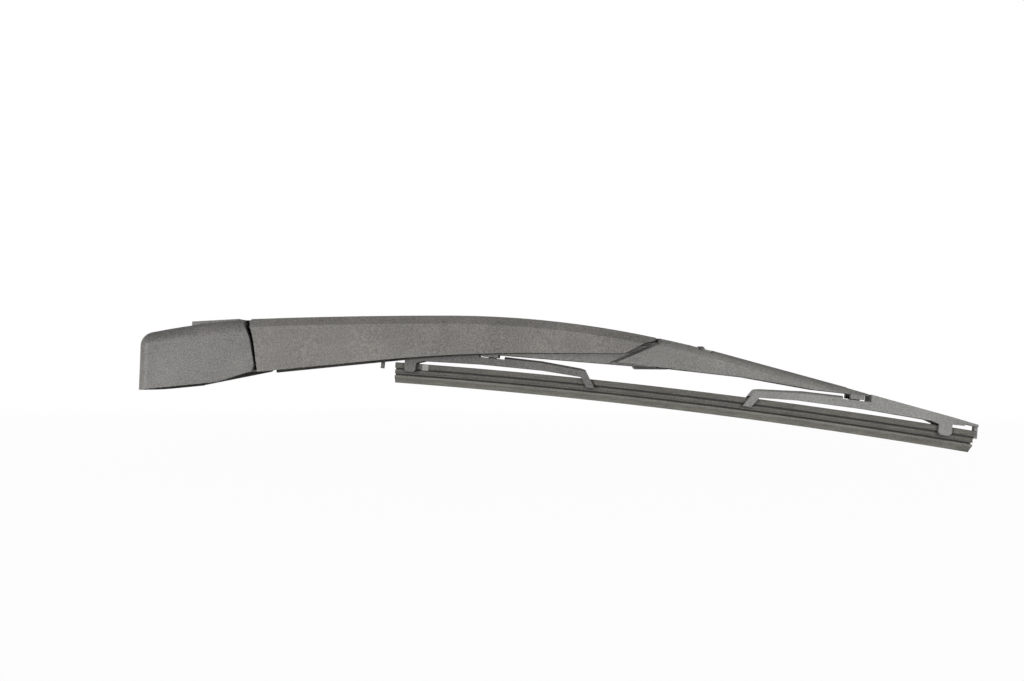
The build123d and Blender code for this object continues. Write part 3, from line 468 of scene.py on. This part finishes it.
def new_group(name, inputs, outputs):
    """An empty shader node group with named sockets."""
    group = bpy.data.node_groups.new(name, "ShaderNodeTree")
    for label, kind, default in inputs:
        socket = group.interface.new_socket(label, in_out="INPUT", socket_type=kind)
        if default is not None:
            socket.default_value = default
    for label, kind in outputs:
        group.interface.new_socket(label, in_out="OUTPUT", socket_type=kind)
    start = group.nodes.new("NodeGroupInput")
    end = group.nodes.new("NodeGroupOutput")
    return group, start, end


def math_node(tree, operation, first, second):
    """A math node on two values, each a socket or a number."""
    node = tree.nodes.new("ShaderNodeMath")
    node.operation = operation
    for socket, value in zip(node.inputs, (first, second)):
        if isinstance(value, bpy.types.NodeSocket):
            tree.links.new(value, socket)
        else:
            socket.default_value = value
    return node.outputs[0]


def weighted(tree, *parts):
    """The sum of values, each times its weight."""
    total = None
    for value, weight in parts:
        part = math_node(tree, "MULTIPLY", value, weight)
        total = part if total is None else math_node(tree, "ADD", total, part)
    return total


def noise_node(tree, vector, scale, detail):
    """Noise over a vector at a scale, a socket or a number."""
    node = tree.nodes.new("ShaderNodeTexNoise")
    tree.links.new(vector, node.inputs["Vector"])
    node.inputs["Detail"].default_value = detail
    if isinstance(scale, bpy.types.NodeSocket):
        tree.links.new(scale, node.inputs["Scale"])
    else:
        node.inputs["Scale"].default_value = scale
    return node.outputs["Fac"]


def stretched_noise(tree, vector, scales, detail, turn=0.0):
    """Noise with its own scale along each axis, after a turn about the axis across the part."""
    stretch = tree.nodes.new("ShaderNodeMapping")
    stretch.inputs["Rotation"].default_value = (0, turn, 0)
    stretch.inputs["Scale"].default_value = scales
    tree.links.new(vector, stretch.inputs["Vector"])
    return noise_node(tree, stretch.outputs["Vector"], 1.0, detail)


def grain_group():
    """Moulded grain: a pebbled height, and a fine speckle of tone."""
    known = bpy.data.node_groups.get("Moulded grain")
    if known:
        return known
    group, start, end = new_group(
        "Moulded grain",
        [("Vector", "NodeSocketVector", None), ("Grain scale", "NodeSocketFloat", 2600.0)],
        [("Height", "NodeSocketFloat"), ("Speckle", "NodeSocketFloat")],
    )
    scale = start.outputs["Grain scale"]
    cells = group.nodes.new("ShaderNodeTexVoronoi")
    cells.feature = "SMOOTH_F1"
    cells.inputs["Smoothness"].default_value = 0.6
    group.links.new(start.outputs["Vector"], cells.inputs["Vector"])
    group.links.new(scale, cells.inputs["Scale"])
    fine_scale = math_node(group, "MULTIPLY", scale, 1.7)
    coarse_scale = math_node(group, "MULTIPLY", scale, 0.5)
    fine = noise_node(group, start.outputs["Vector"], fine_scale, 2.0)
    coarse = noise_node(group, start.outputs["Vector"], coarse_scale, 2.0)
    pebble = math_node(group, "SUBTRACT", 1.0, cells.outputs["Distance"])
    height = math_node(group, "ADD", pebble, math_node(group, "MULTIPLY", fine, 0.5))
    group.links.new(height, end.inputs["Height"])
    group.links.new(weighted(group, (coarse, 0.6), (fine, 0.4)), end.inputs["Speckle"])
    return group


def drift_group():
    """Slow drift of tone over a surface, as from handling and weather."""
    known = bpy.data.node_groups.get("Tone drift")
    if known:
        return known
    group, start, end = new_group(
        "Tone drift",
        [("Vector", "NodeSocketVector", None), ("Patch scale", "NodeSocketFloat", 30.0)],
        [("Drift", "NodeSocketFloat")],
    )
    scale = start.outputs["Patch scale"]
    broad = noise_node(group, start.outputs["Vector"], scale, 2.0)
    small_scale = math_node(group, "MULTIPLY", scale, 5.0)
    small = noise_node(group, start.outputs["Vector"], small_scale, 3.0)
    group.links.new(weighted(group, (broad, 0.65), (small, 0.35)), end.inputs["Drift"])
    return group


def painted_shade_group():
    """Painted shade from ambient occlusion: 1 in the open, less in crevices, recesses and under overhangs."""
    known = bpy.data.node_groups.get("Painted occlusion shade")
    if known:
        return known
    group, start, end = new_group(
        "Painted occlusion shade",
        [("Reach", "NodeSocketFloat", 0.004), ("Least", "NodeSocketFloat", 0.3)],
        [("Open", "NodeSocketFloat")],
    )
    near = group.nodes.new("ShaderNodeAmbientOcclusion")
    near.samples = 8
    group.links.new(start.outputs["Reach"], near.inputs["Distance"])
    spread = group.nodes.new("ShaderNodeMapRange")
    group.links.new(near.outputs["AO"], spread.inputs["Value"])
    spread.inputs["From Min"].default_value = 0.15
    spread.inputs["From Max"].default_value = 0.8
    group.links.new(start.outputs["Least"], spread.inputs["To Min"])
    group.links.new(spread.outputs["Result"], end.inputs["Open"])
    return group


def place_group(tree, group, vector, **values):
    """Put a group in a material, fed by a vector, with its own values."""
    node = tree.nodes.new("ShaderNodeGroup")
    node.node_tree = group
    if vector:
        tree.links.new(vector, node.inputs["Vector"])
    for label, value in values.items():
        node.inputs[label.replace("_", " ")].default_value = value
    return node


def remap(tree, value, low, high, start=0.3, end=0.7):
    """Spread a value between low and high."""
    node = tree.nodes.new("ShaderNodeMapRange")
    tree.links.new(value, node.inputs["Value"])
    node.inputs["From Min"].default_value = start
    node.inputs["From Max"].default_value = end
    node.inputs["To Min"].default_value = low
    node.inputs["To Max"].default_value = high
    return node.outputs["Result"]


def blend_tone(tree, factor, dark, light):
    """A colour between two tones."""
    node = tree.nodes.new("ShaderNodeMix")
    node.data_type = "RGBA"
    tree.links.new(factor, node.inputs["Factor"])
    node.inputs["A"].default_value = (*dark, 1)
    node.inputs["B"].default_value = (*light, 1)
    return node.outputs["Result"]


def dimmed(tree, colour, share):
    """A colour darkened by a share."""
    node = tree.nodes.new("ShaderNodeMix")
    node.data_type = "RGBA"
    node.blend_type = "MULTIPLY"
    node.inputs["Factor"].default_value = 1.0
    tree.links.new(colour, node.inputs["A"])
    tree.links.new(share, node.inputs["B"])
    return node.outputs["Result"]


def start_material(name):
    """A material with its shader and the object's own coordinates."""
    material = bpy.data.materials.new(name)
    material.use_nodes = True
    tree = material.node_tree
    shader = tree.nodes["Principled BSDF"]
    place = tree.nodes.new("ShaderNodeTexCoord").outputs["Object"]
    return material, tree, shader, place


def add_bump(tree, shader, height, strength, distance):
    """Let a height raise the surface a little."""
    bump = tree.nodes.new("ShaderNodeBump")
    bump.inputs["Strength"].default_value = strength
    bump.inputs["Distance"].default_value = distance
    tree.links.new(height, bump.inputs["Height"])
    tree.links.new(bump.outputs["Normal"], shader.inputs["Normal"])


def shaded(colour, factor):
    """A colour made darker or lighter by a factor."""
    return tuple(min(1.0, channel * factor) for channel in colour)


def moulded_plastic(name, colour, reach, grain=2600.0, contrast=0.72, rough=(0.52, 0.72), shine=0.4):
    """Black plastic greyed by light, with moulded grain, a slow drift of tone and painted shade in crevices
    and recesses.
    """
    material, tree, shader, place = start_material(name)
    grained = place_group(tree, grain_group(), place, Grain_scale=grain)
    drift = place_group(tree, drift_group(), place, Patch_scale=28.0)
    tone = weighted(tree, (grained.outputs["Speckle"], 0.75), (drift.outputs["Drift"], 0.25))
    factor = remap(tree, tone, 0.0, 1.0)
    grained_tone = blend_tone(tree, factor, shaded(colour, 1 - contrast), shaded(colour, 1 + contrast))
    # Painted shade: the colour darkens by ambient occlusion out to reach, in gaps, recesses and under the
    # arm.
    painted_shade = place_group(tree, painted_shade_group(), None, Reach=reach, Least=0.2)
    tree.links.new(dimmed(tree, grained_tone, painted_shade.outputs["Open"]), shader.inputs["Base Color"])
    roughness = remap(tree, grained.outputs["Height"], rough[1], rough[0], start=0.5, end=1.2)
    tree.links.new(roughness, shader.inputs["Roughness"])
    shader.inputs["Specular IOR Level"].default_value = shine
    add_bump(tree, shader, grained.outputs["Height"], strength=0.35, distance=0.00006)
    return material


def rubber_finish(name, colour, contrast):
    """Extruded rubber: dull, with fine lengthwise streaks, a little bloom and painted shade in its slots and
    grooves.
    """
    material, tree, shader, place = start_material(name)
    lengthwise, fine = 60.0, 2200.0
    streak = stretched_noise(tree, place, (lengthwise, fine, fine), 3.0, turn=sizes().blade_tilt)
    grained = place_group(tree, grain_group(), place, Grain_scale=fine)
    drift = place_group(tree, drift_group(), place, Patch_scale=45.0)
    tone = weighted(
        tree, (streak, 0.4), (grained.outputs["Speckle"], 0.4), (drift.outputs["Drift"], 0.2),
    )
    factor = remap(tree, tone, 0.0, 1.0, start=0.35, end=0.65)
    streaked_tone = blend_tone(tree, factor, shaded(colour, 1 - contrast), shaded(colour, 1 + contrast))
    # Painted shade: the colour darkens by ambient occlusion in the rubber's slots and grooves.
    painted_shade = place_group(tree, painted_shade_group(), None, Reach=0.004, Least=0.15)
    tree.links.new(dimmed(tree, streaked_tone, painted_shade.outputs["Open"]), shader.inputs["Base Color"])
    tree.links.new(remap(tree, streak, 0.62, 0.82), shader.inputs["Roughness"])
    shader.inputs["Specular IOR Level"].default_value = 0.3
    height = math_node(tree, "ADD", streak, grained.outputs["Height"])
    add_bump(tree, shader, height, strength=0.3, distance=0.00004)
    return material


def turned_steel(name, colour, scales, rough=(0.48, 0.26)):
    """Plain steel with fine drawn or turned lines and dull patches."""
    material, tree, shader, place = start_material(name)
    lines = stretched_noise(tree, place, scales, 4.0)
    drift = place_group(tree, drift_group(), place, Patch_scale=160.0)
    tone = weighted(tree, (lines, 0.5), (drift.outputs["Drift"], 0.5))
    factor = remap(tree, tone, 0.0, 1.0)
    lined_tone = blend_tone(tree, factor, shaded(colour, 0.75), shaded(colour, 1.2))
    tree.links.new(lined_tone, shader.inputs["Base Color"])
    tree.links.new(remap(tree, tone, *rough), shader.inputs["Roughness"])
    shader.inputs["Metallic"].default_value = 1.0
    add_bump(tree, shader, lines, strength=0.15, distance=0.00003)
    return material


def coated_casting(name, colour):
    """Cast metal under a matt black coat of slightly uneven tone."""
    material, tree, shader, place = start_material(name)
    grained = place_group(tree, grain_group(), place, Grain_scale=1100.0)
    drift = place_group(tree, drift_group(), place, Patch_scale=70.0)
    factor = remap(tree, drift.outputs["Drift"], 0.0, 1.0, start=0.35, end=0.65)
    coat_tone = blend_tone(tree, factor, shaded(colour, 0.75), shaded(colour, 1.35))
    tree.links.new(coat_tone, shader.inputs["Base Color"])
    tree.links.new(remap(tree, grained.outputs["Speckle"], 0.55, 0.8), shader.inputs["Roughness"])
    shader.inputs["Specular IOR Level"].default_value = 0.25
    add_bump(tree, shader, grained.outputs["Height"], strength=0.5, distance=0.00012)
    return material


class WIPER_OT_cover(bpy.types.Operator):
    """Nut cover with soft moulded edges"""

    bl_idname = "wiper.cover"
    bl_label = "Nut cover"

    def execute(self, context):
        piece = softened("nut_cover", sizes().moulded_edge)
        plastic = moulded_plastic(
            "Cover plastic", colours().cover, reach=0.03, contrast=0.9, rough=(0.36, 0.52), shine=0.25,
        )
        set_material(piece, plastic)
        return {"FINISHED"}


class WIPER_OT_arm(bpy.types.Operator):
    """Arched arm with soft moulded edges"""

    bl_idname = "wiper.arm"
    bl_label = "Arm channel"

    def execute(self, context):
        piece = softened("arm_channel", sizes().moulded_edge, self.reshape)
        set_material(piece, moulded_plastic("Arm plastic", colours().arm, reach=0.03))
        return {"FINISHED"}

    def reshape(self, work):
        """Slant the arm's shoulders."""
        flatten_shoulder(work, work.verts, sizes().arm_shoulder, sizes().arm_slant)


class WIPER_OT_bridge(bpy.types.Operator):
    """Bridge and its two yokes"""

    bl_idname = "wiper.bridge"
    bl_label = "Bridge and yokes"

    def execute(self, context):
        colour = colours()
        for node, reshape, name, tone, reach, contrast in (
            ("bridge", self.reshape, "Bridge plastic", colour.bridge, 0.012, 0.6),
            # Painted shade: the yoke under the arm takes the darker copy of the yoke plastic and a longer
            # reach of painted occlusion shade.
            ("left_yoke", None, "Shadowed yoke plastic", colour.shadowed_yoke, 0.018, 0.72),
            ("right_yoke", None, "Yoke plastic", colour.yoke, 0.01, 0.5),
        ):
            piece = softened(node, sizes().fine_edge, reshape)
            set_material(piece, moulded_plastic(name, tone, reach, contrast=contrast))
        return {"FINISHED"}

    def reshape(self, work):
        """Slant the bridge's shoulders, bevel its step, and shape its fork lugs."""
        size = sizes()
        tip = size.lug_place - 2 * size.lug_length
        for end in (-tip, tip):
            bmesh.ops.bisect_plane(
                work, geom=work.verts[:] + work.edges[:] + work.faces[:],
                plane_co=blade_point(end, 0, 0), plane_no=blade_point(1, 0, 0) - blade_point(0, 0, 0),
            )
        margin = size.corner_margin
        body = [vert for vert in work.verts if abs(blade_place(vert.co)[0]) < tip + margin]
        flatten_shoulder(work, body, size.bridge_shoulder, size.bridge_slant)
        self.bevel_step(work)
        self.shape_lugs(work)

    def shape_lugs(self, work):
        """Let the tops of the fork lugs follow the bridge's rounded tips, and lengthen the left lug."""
        size = sizes()
        margin = size.corner_margin
        for vert in work.verts:
            along, height = blade_place(vert.co)
            end = abs(along) - size.lug_place - size.lug_length / 2
            if end < -size.lug_length - margin or end > margin:
                continue
            if abs(height + size.lug_top) < margin:
                if abs(vert.co.y) > size.lug_half_width - margin:
                    height = -size.lug_flank_top
                elif end > -margin:
                    height = -size.lug_end_top
            if along < 0 and end > -margin and height < -size.lug_top + margin:
                along -= size.left_lug_growth
            vert.co = blade_point(along, height, vert.co.y)

    def bevel_step(self, work):
        """Draw the outer edge of the slanted step back from the arm, so that it shows as a bevel."""
        size = sizes()
        low_along, low_height = size.step_foot
        top_along, top_height = size.step_top
        slope = (top_along - low_along) / (top_height - low_height)
        for vert in work.verts:
            along, height = blade_place(vert.co)
            least = size.step_inner if height < top_height else size.step_crown
            if abs(vert.co.y) < least:
                continue
            past = along - low_along - (min(height, top_height) - low_height) * slope
            if not -size.corner_margin < past < size.step_run:
                continue
            share = min(1, (abs(vert.co.y) - size.step_crown) / (size.step_inner - size.step_crown))
            rise = max(0, (height - low_height) / (top_height - low_height))
            share *= size.step_foot_share + (1 - size.step_foot_share) * min(1, rise)
            moved = size.step_bevel * share * (1 - max(0, past) / size.step_run)
            sink = size.step_sink * moved * rise
            vert.co = blade_point(along + moved, height - sink, vert.co.y)


class WIPER_OT_adapter(bpy.types.Operator):
    """Clip between arm and blade"""

    bl_idname = "wiper.adapter"
    bl_label = "Blade adapter"

    def execute(self, context):
        piece = softened("blade_adapter", sizes().fine_edge)
        plastic = moulded_plastic(
            "Adapter plastic", colours().adapter, reach=0.004, grain=3800.0, rough=(0.4, 0.55),
        )
        set_material(piece, plastic)
        return {"FINISHED"}


def rubber_half(flange):
    """Half the rubber's section as (across, depth) from top to lip, for a flange's half width."""
    size = sizes()
    slot_end = size.flange_depth + size.rail_thickness + 2 * size.rail_play
    return [
        (flange - size.flange_round, 0),
        (flange, size.flange_round),
        (flange, size.flange_depth - size.flange_round),
        (flange - size.flange_round, size.flange_depth),
        (size.rail_web_half_width, size.flange_depth),
        (size.rail_web_half_width, slot_end),
        (size.waist_half_width, slot_end),
        (size.waist_half_width, size.waist_depth),
        (size.bead_half_width, size.bead_top),
        (size.bead_half_width, size.bead_depth),
        (size.neck_half_width, size.bead_depth),
        (size.neck_half_width, size.groove_depth),
        (size.lip_half_width - size.lip_round, size.groove_depth),
        (size.lip_half_width, size.groove_depth + size.lip_round),
        (size.lip_half_width, size.lip_root_depth),
        *LIP_TAPER,
        (size.lip_edge_half_width, size.rubber_height),
    ]


class WIPER_OT_rubber(bpy.types.Operator):
    """Rubber and steel rails, in a left and a right half"""

    bl_idname = "wiper.rubber"
    bl_label = "Rubber and rails"

    def execute(self, context):
        size = sizes()
        bare = rubber_finish("Bare rubber", colours().rubber, contrast=0.55)
        # Lighter copy of the rubber for the lip: partly its graphite coat, partly painted light where the lip
        # faces the lamps.
        coated_lit_lip = rubber_finish("Coated and lit lip", colours().lip, contrast=0.5)
        strip = turned_steel("Rail steel", shaded(colours().steel, 0.6), ALONG_STRIP, rough=(0.7, 0.5))
        # Painted shade: the steel rails get a near-black coat so that they read as shadowed in their slots.
        rail_shade = coated_casting("Rail in painted shade", colours().casting)
        lit_coat_start = (size.bead_depth + size.groove_depth) / 2
        for side, yoke, name in ((-1, "yoke_left", "left"), (1, "yoke_right", "right")):
            end = size.rubber_shift + side * size.rubber_length / 2
            stations = evenly(0, end, RUBBER_STEP)
            if side < 0:
                notch = self.tab_reach(2 * size.rail_play)
                edges = [edge + step for edge in notch for step in (-NOTCH_STEP, NOTCH_STEP)]
                stations = sorted(stations + edges, reverse=True)
            mesh = bowed_strip(
                f"rubber_{name}", self.section_at, stations, closed_end=True,
                cut_back=self.lip_cut if side > 0 else None,
            )
            shade_smooth(mesh, STRIP_CREASE)
            piece = add_object(f"rubber_{name}", mesh)
            mesh.materials.append(bare)
            mesh.materials.append(coated_lit_lip)
            section = self.section_at(0)
            count = len(section)
            for polygon in mesh.polygons:
                depths = [section[vertex % count][1] for vertex in polygon.vertices]
                # Faces below the groove take the lighter lip copy: partly coat, partly painted light.
                polygon.material_index = int(min(depths) > lit_coat_start)
            self.bend(piece, yoke, side)
            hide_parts("wiper_rubber")
            for flank, node in ((-1, "rail_near"), (1, "rail_far")):
                rail = self.rail(f"{node}_{name}", flank, side, end)
                # The rail takes the near-black coat of painted shade.
                set_material(rail, rail_shade)
                self.bend(rail, yoke, side)
                pieces = [rail]
                if side < 0:
                    tab = self.tab(f"{node}_tab", flank)
                    set_material(tab, strip)
                    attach(tab, yoke)
                    pieces.append(tab)
                for piece in pieces:
                    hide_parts(node)
        return {"FINISHED"}

    def tab_reach(self, play):
        """Both ends of the rail's tab along the blade, with play."""
        half = sizes().rail_tab_length / 2 + play
        return -sizes().rail_tab_place - half, -sizes().rail_tab_place + half

    def section_at(self, place):
        """The rubber's whole section at a place; its flange gives way to the rail's tab."""
        size = sizes()
        low, high = self.tab_reach(2 * size.rail_play)
        flange = size.flange_half_width
        if low < place < high:
            flange -= size.rail_tab_thickness + size.rail_play
        half = rubber_half(flange)
        return half + [(-across, depth) for across, depth in reversed(half)]

    def lip_cut(self, depth):
        """How far the lip's outer end is cut back at a depth below the groove."""
        size = sizes()
        lip_height = size.rubber_height - size.groove_depth
        return size.lip_slant * max(0.0, depth - size.groove_depth) / lip_height

    def tab(self, name, flank):
        """The tab bent up from a rail, which shows in the rubber's flange."""
        size = sizes()
        low = size.flange_depth + size.rail_play + size.rail_thickness / 2
        outer = flank * size.flange_half_width
        inner = flank * (size.flange_half_width - size.rail_tab_thickness)
        section = [(inner, size.rail_tab_sink), (outer, size.rail_tab_sink), (outer, low), (inner, low)]
        mesh = bowed_strip(name, lambda place: section, self.tab_reach(0), closed_start=True, closed_end=True)
        return add_object(name, mesh)

    def rail(self, name, flank, side, end):
        """Half a rail, in the slot under the rubber's flange."""
        size = sizes()
        top = size.flange_depth + size.rail_play
        low = top + size.rail_thickness
        inner = size.rail_web_half_width + size.rail_play
        section = [
            (flank * inner, top),
            (flank * size.rail_half_width, top),
            (flank * size.rail_half_width, low),
            (flank * inner, low),
        ]
        stations = evenly(0, end - side * size.rail_end_gap, RAIL_STEP)
        mesh = bowed_strip(name, lambda place: section, stations, closed_end=True)
        shade_smooth(mesh, STRIP_CREASE)
        return add_object(name, mesh)

    def bend(self, piece, yoke, side):
        """Bake a strip's placement into its mesh; the yoke and side are not used."""
        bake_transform(piece)


class WIPER_OT_spring(bpy.types.Operator):
    """Wound tension spring with its two hooks"""

    bl_idname = "wiper.spring"
    bl_label = "Tension spring"

    def execute(self, context):
        size = sizes()
        hook_pin = self.centre("spring_pin")
        loop_pin = self.centre("anchor_pin")
        coil_radius = size.spring_radius - size.wire_radius
        low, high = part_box("spring_pin")
        hook_radius = (high.x - low.x) / 2 + size.wire_radius + size.hook_play
        path = self.hook(hook_pin, hook_radius)
        steps = size.coil_count * COIL_STEPS
        half_turn = COIL_STEPS / 2
        for step in range(steps + 1):
            turn = math.tau * size.coil_count * step / steps
            along = size.coil_start + (size.coil_end - size.coil_start) * step / steps
            ease = min(step, steps - step) / half_turn
            radius = hook_radius + (coil_radius - hook_radius) * min(1, ease)
            offset = Vector((0, -math.sin(turn), math.cos(turn))) * radius
            path.append(Vector((along, 0, hook_pin.z)) + offset)
        loop = reversed(self.hook(hook_pin, hook_radius))
        path += [self.flip(point, hook_pin, loop_pin) for point in loop]
        mesh = tube("tension_spring_wound", path, size.wire_radius, WIRE_SIDES)
        shade_smooth(mesh, WIRE_CREASE)
        piece = add_object("tension_spring_wound", mesh)
        set_material(piece, turned_steel("Spring wire", shaded(colours().steel, 0.6), ROUND_WIRE))
        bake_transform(piece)
        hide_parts("tension_spring")
        return {"FINISHED"}

    def centre(self, node):
        """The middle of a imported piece."""
        low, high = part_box(node)
        return (low + high) / 2

    def hook(self, pin, radius):
        """The open hook round the head's pin, from its free end to the end of the straight shank."""
        free_end, shank_start, shank_end = 0.7, 2.0, 4.5
        points = [pin + Vector((radius * free_end, 0, -radius))]
        for index in range(HOOK_STEPS + 1):
            turn = math.pi * index / HOOK_STEPS
            points.append(pin + Vector((-math.sin(turn), 0, -math.cos(turn))) * radius)
        for reach in (shank_start, shank_end):
            points.append(pin + Vector((radius * reach, 0, radius)))
        return points

    def flip(self, point, hook_pin, loop_pin):
        """The same point of the far loop, which is the hook turned half way round."""
        offset = point - hook_pin
        return loop_pin + Vector((-offset.x, 0, offset.z))


class WIPER_OT_metal(bpy.types.Operator):
    """Cast head and steel pins"""

    bl_idname = "wiper.metal"
    bl_label = "Head and pins"

    def execute(self, context):
        head = softened("spindle_head", sizes().cast_edge)
        set_material(head, coated_casting("Coated casting", colours().casting))
        pin_steel = turned_steel("Pin steel", colours().steel, ALONG_PIN)
        for node in ("hinge_pin", "cover_pin", "spring_pin", "anchor_pin", "blade_pin"):
            set_material(frame["nodes"][node], pin_steel)
        dark_steel = turned_steel("Blackened steel", shaded(colours().steel, 0.35), ALONG_PIN)
        for node in ("left_pivot_pin", "right_pivot_pin"):
            set_material(frame["nodes"][node], dark_steel)
        return {"FINISHED"}


class WIPER_OT_stage(bpy.types.Operator):
    """Camera, pale floor and soft light"""

    bl_idname = "wiper.stage"
    bl_label = "Stage"

    def execute(self, context):
        self.camera(context)
        self.floor()
        self.light(context)
        context.scene.view_settings.view_transform = "Standard"
        return {"FINISHED"}

    def camera(self, context):
        """The camera at the viewing angle, aimed at its target."""
        stage = context.scene.wiper_stage
        data = bpy.data.cameras.new("camera")
        data.lens = stage.lens
        data.sensor_width = 36.0
        data.clip_start = 0.01
        camera = bpy.data.objects.new("camera", data)
        context.scene.collection.objects.link(camera)
        back = Vector((
            math.sin(stage.azimuth) * math.cos(stage.elevation),
            -math.cos(stage.azimuth) * math.cos(stage.elevation),
            math.sin(stage.elevation),
        ))
        camera.location = Vector(stage.target) + back * stage.distance
        level = back.to_track_quat("Z", "Y")
        camera.rotation_euler = (level @ Quaternion((0, 0, 1), stage.roll)).to_euler()
        context.scene.camera = camera

    def floor(self):
        """A white floor with a faint shadow near the part; it is clear from below."""
        corners = ((-1, -1), (1, -1), (1, 1), (-1, 1))
        points = [(along * FLOOR_REACH, across * FLOOR_REACH, 0) for along, across in corners]
        mesh = mesh_from("floor", points, [(0, 1, 2, 3)])
        floor = add_object("floor", mesh)
        floor.location = ((CAD_BOX[0][0] + CAD_BOX[1][0]) / 2, 0, CAD_BOX[0][2] - FLOOR_GAP)
        material, tree, shader, place = start_material("Pale floor")
        shader.inputs["Base Color"].default_value = (0.3, 0.3, 0.3, 1)
        shader.inputs["Roughness"].default_value = 0.9
        shader.inputs["Specular IOR Level"].default_value = 0.0
        glow = tree.nodes.new("ShaderNodeEmission")
        glow.inputs["Strength"].default_value = 1.0
        seen = tree.nodes.new("ShaderNodeLightPath")
        clear = math_node(tree, "MAXIMUM", seen.outputs["Is Camera Ray"], seen.outputs["Is Glossy Ray"])
        spread = tree.nodes.new("ShaderNodeVectorMath")
        spread.operation = "LENGTH"
        tree.links.new(place, spread.inputs[0])
        fading = remap(tree, spread.outputs["Value"], 0.97, 1.0, start=0.15, end=0.9)
        share = math_node(tree, "MULTIPLY", clear, fading)
        mix = tree.nodes.new("ShaderNodeMixShader")
        tree.links.new(share, mix.inputs["Fac"])
        tree.links.new(shader.outputs["BSDF"], mix.inputs[1])
        tree.links.new(glow.outputs["Emission"], mix.inputs[2])
        under = tree.nodes.new("ShaderNodeMixShader")
        tree.links.new(tree.nodes.new("ShaderNodeNewGeometry").outputs["Backfacing"], under.inputs["Fac"])
        tree.links.new(mix.outputs["Shader"], under.inputs[1])
        tree.links.new(tree.nodes.new("ShaderNodeBsdfTransparent").outputs["BSDF"], under.inputs[2])
        tree.links.new(under.outputs["Shader"], tree.nodes["Material Output"].inputs["Surface"])
        set_material(floor, material)

    def light(self, context):
        """A white room that lights softly and shows brighter in gloss, and the lamps."""
        world = bpy.data.worlds.new("studio")
        context.scene.world = world
        world.use_nodes = True
        tree = world.node_tree
        background = tree.nodes["Background"]
        background.inputs["Color"].default_value = (1, 1, 1, 1)
        seen = tree.nodes.new("ShaderNodeLightPath")
        clear = math_node(tree, "MAXIMUM", seen.outputs["Is Camera Ray"], seen.outputs["Is Transmission Ray"])
        heading = tree.nodes.new("ShaderNodeSeparateXYZ")
        tree.links.new(tree.nodes.new("ShaderNodeTexCoord").outputs["Generated"], heading.inputs["Vector"])
        by_height = remap(tree, heading.outputs["Z"], 1.0, 0.2, start=0.15, end=0.6)
        mirrored = math_node(tree, "MULTIPLY", seen.outputs["Is Glossy Ray"], by_height)
        soft = math_node(tree, "MAXIMUM", mirrored, SOFT_LEVEL)
        tree.links.new(math_node(tree, "MAXIMUM", clear, soft), background.inputs["Strength"])
        centre = Vector(context.scene.wiper_stage.target)
        for name, place, aim, size, power in LAMPS:
            self.lamp(context, name, centre + Vector(place), centre + Vector(aim), size, power)

    def lamp(self, context, name, place, target, size, power):
        """A rectangular lamp aimed at a target."""
        data = bpy.data.lights.new(name, "AREA")
        data.shape = "RECTANGLE"
        data.energy = power
        data.size = size[0]
        data.size_y = size[1]
        lamp = bpy.data.objects.new(name, data)
        context.scene.collection.objects.link(lamp)
        lamp.location = place
        lamp.rotation_euler = (place - target).to_track_quat("Z", "Y").to_euler()


PIECES = (
    WIPER_OT_cover,
    WIPER_OT_arm,
    WIPER_OT_bridge,
    WIPER_OT_adapter,
    WIPER_OT_rubber,
    WIPER_OT_spring,
    WIPER_OT_metal,
    WIPER_OT_stage,
)


class WIPER_PT_panel(bpy.types.Panel):
    """Lists the pieces and their settings"""

    bl_idname = "WIPER_PT_panel"
    bl_label = "Wiper"
    bl_space_type = "VIEW_3D"
    bl_region_type = "UI"
    bl_category = "Wiper"

    def draw(self, context):
        for operator in PIECES:
            self.layout.operator(operator.bl_idname)
        for group in (context.scene.wiper_sizes, context.scene.wiper_colours, context.scene.wiper_stage):
            for name in group.__annotations__:
                self.layout.prop(group, name)


CLASSES = (WiperSizes, WiperColours, StageSettings, *PIECES, WIPER_PT_panel)


def register():
    for item in CLASSES:
        bpy.utils.register_class(item)
    bpy.types.Scene.wiper_sizes = PointerProperty(type=WiperSizes)
    bpy.types.Scene.wiper_colours = PointerProperty(type=WiperColours)
    bpy.types.Scene.wiper_stage = PointerProperty(type=StageSettings)


def unregister():
    del bpy.types.Scene.wiper_stage
    del bpy.types.Scene.wiper_colours
    del bpy.types.Scene.wiper_sizes
    for item in reversed(CLASSES):
        bpy.utils.unregister_class(item)


def main():
    register()
    bpy.ops.wiper.cover()
    bpy.ops.wiper.arm()
    bpy.ops.wiper.bridge()
    bpy.ops.wiper.adapter()
    bpy.ops.wiper.rubber()
    bpy.ops.wiper.spring()
    bpy.ops.wiper.metal()
    bpy.ops.wiper.stage()


if __name__ == "__main__":
    main()
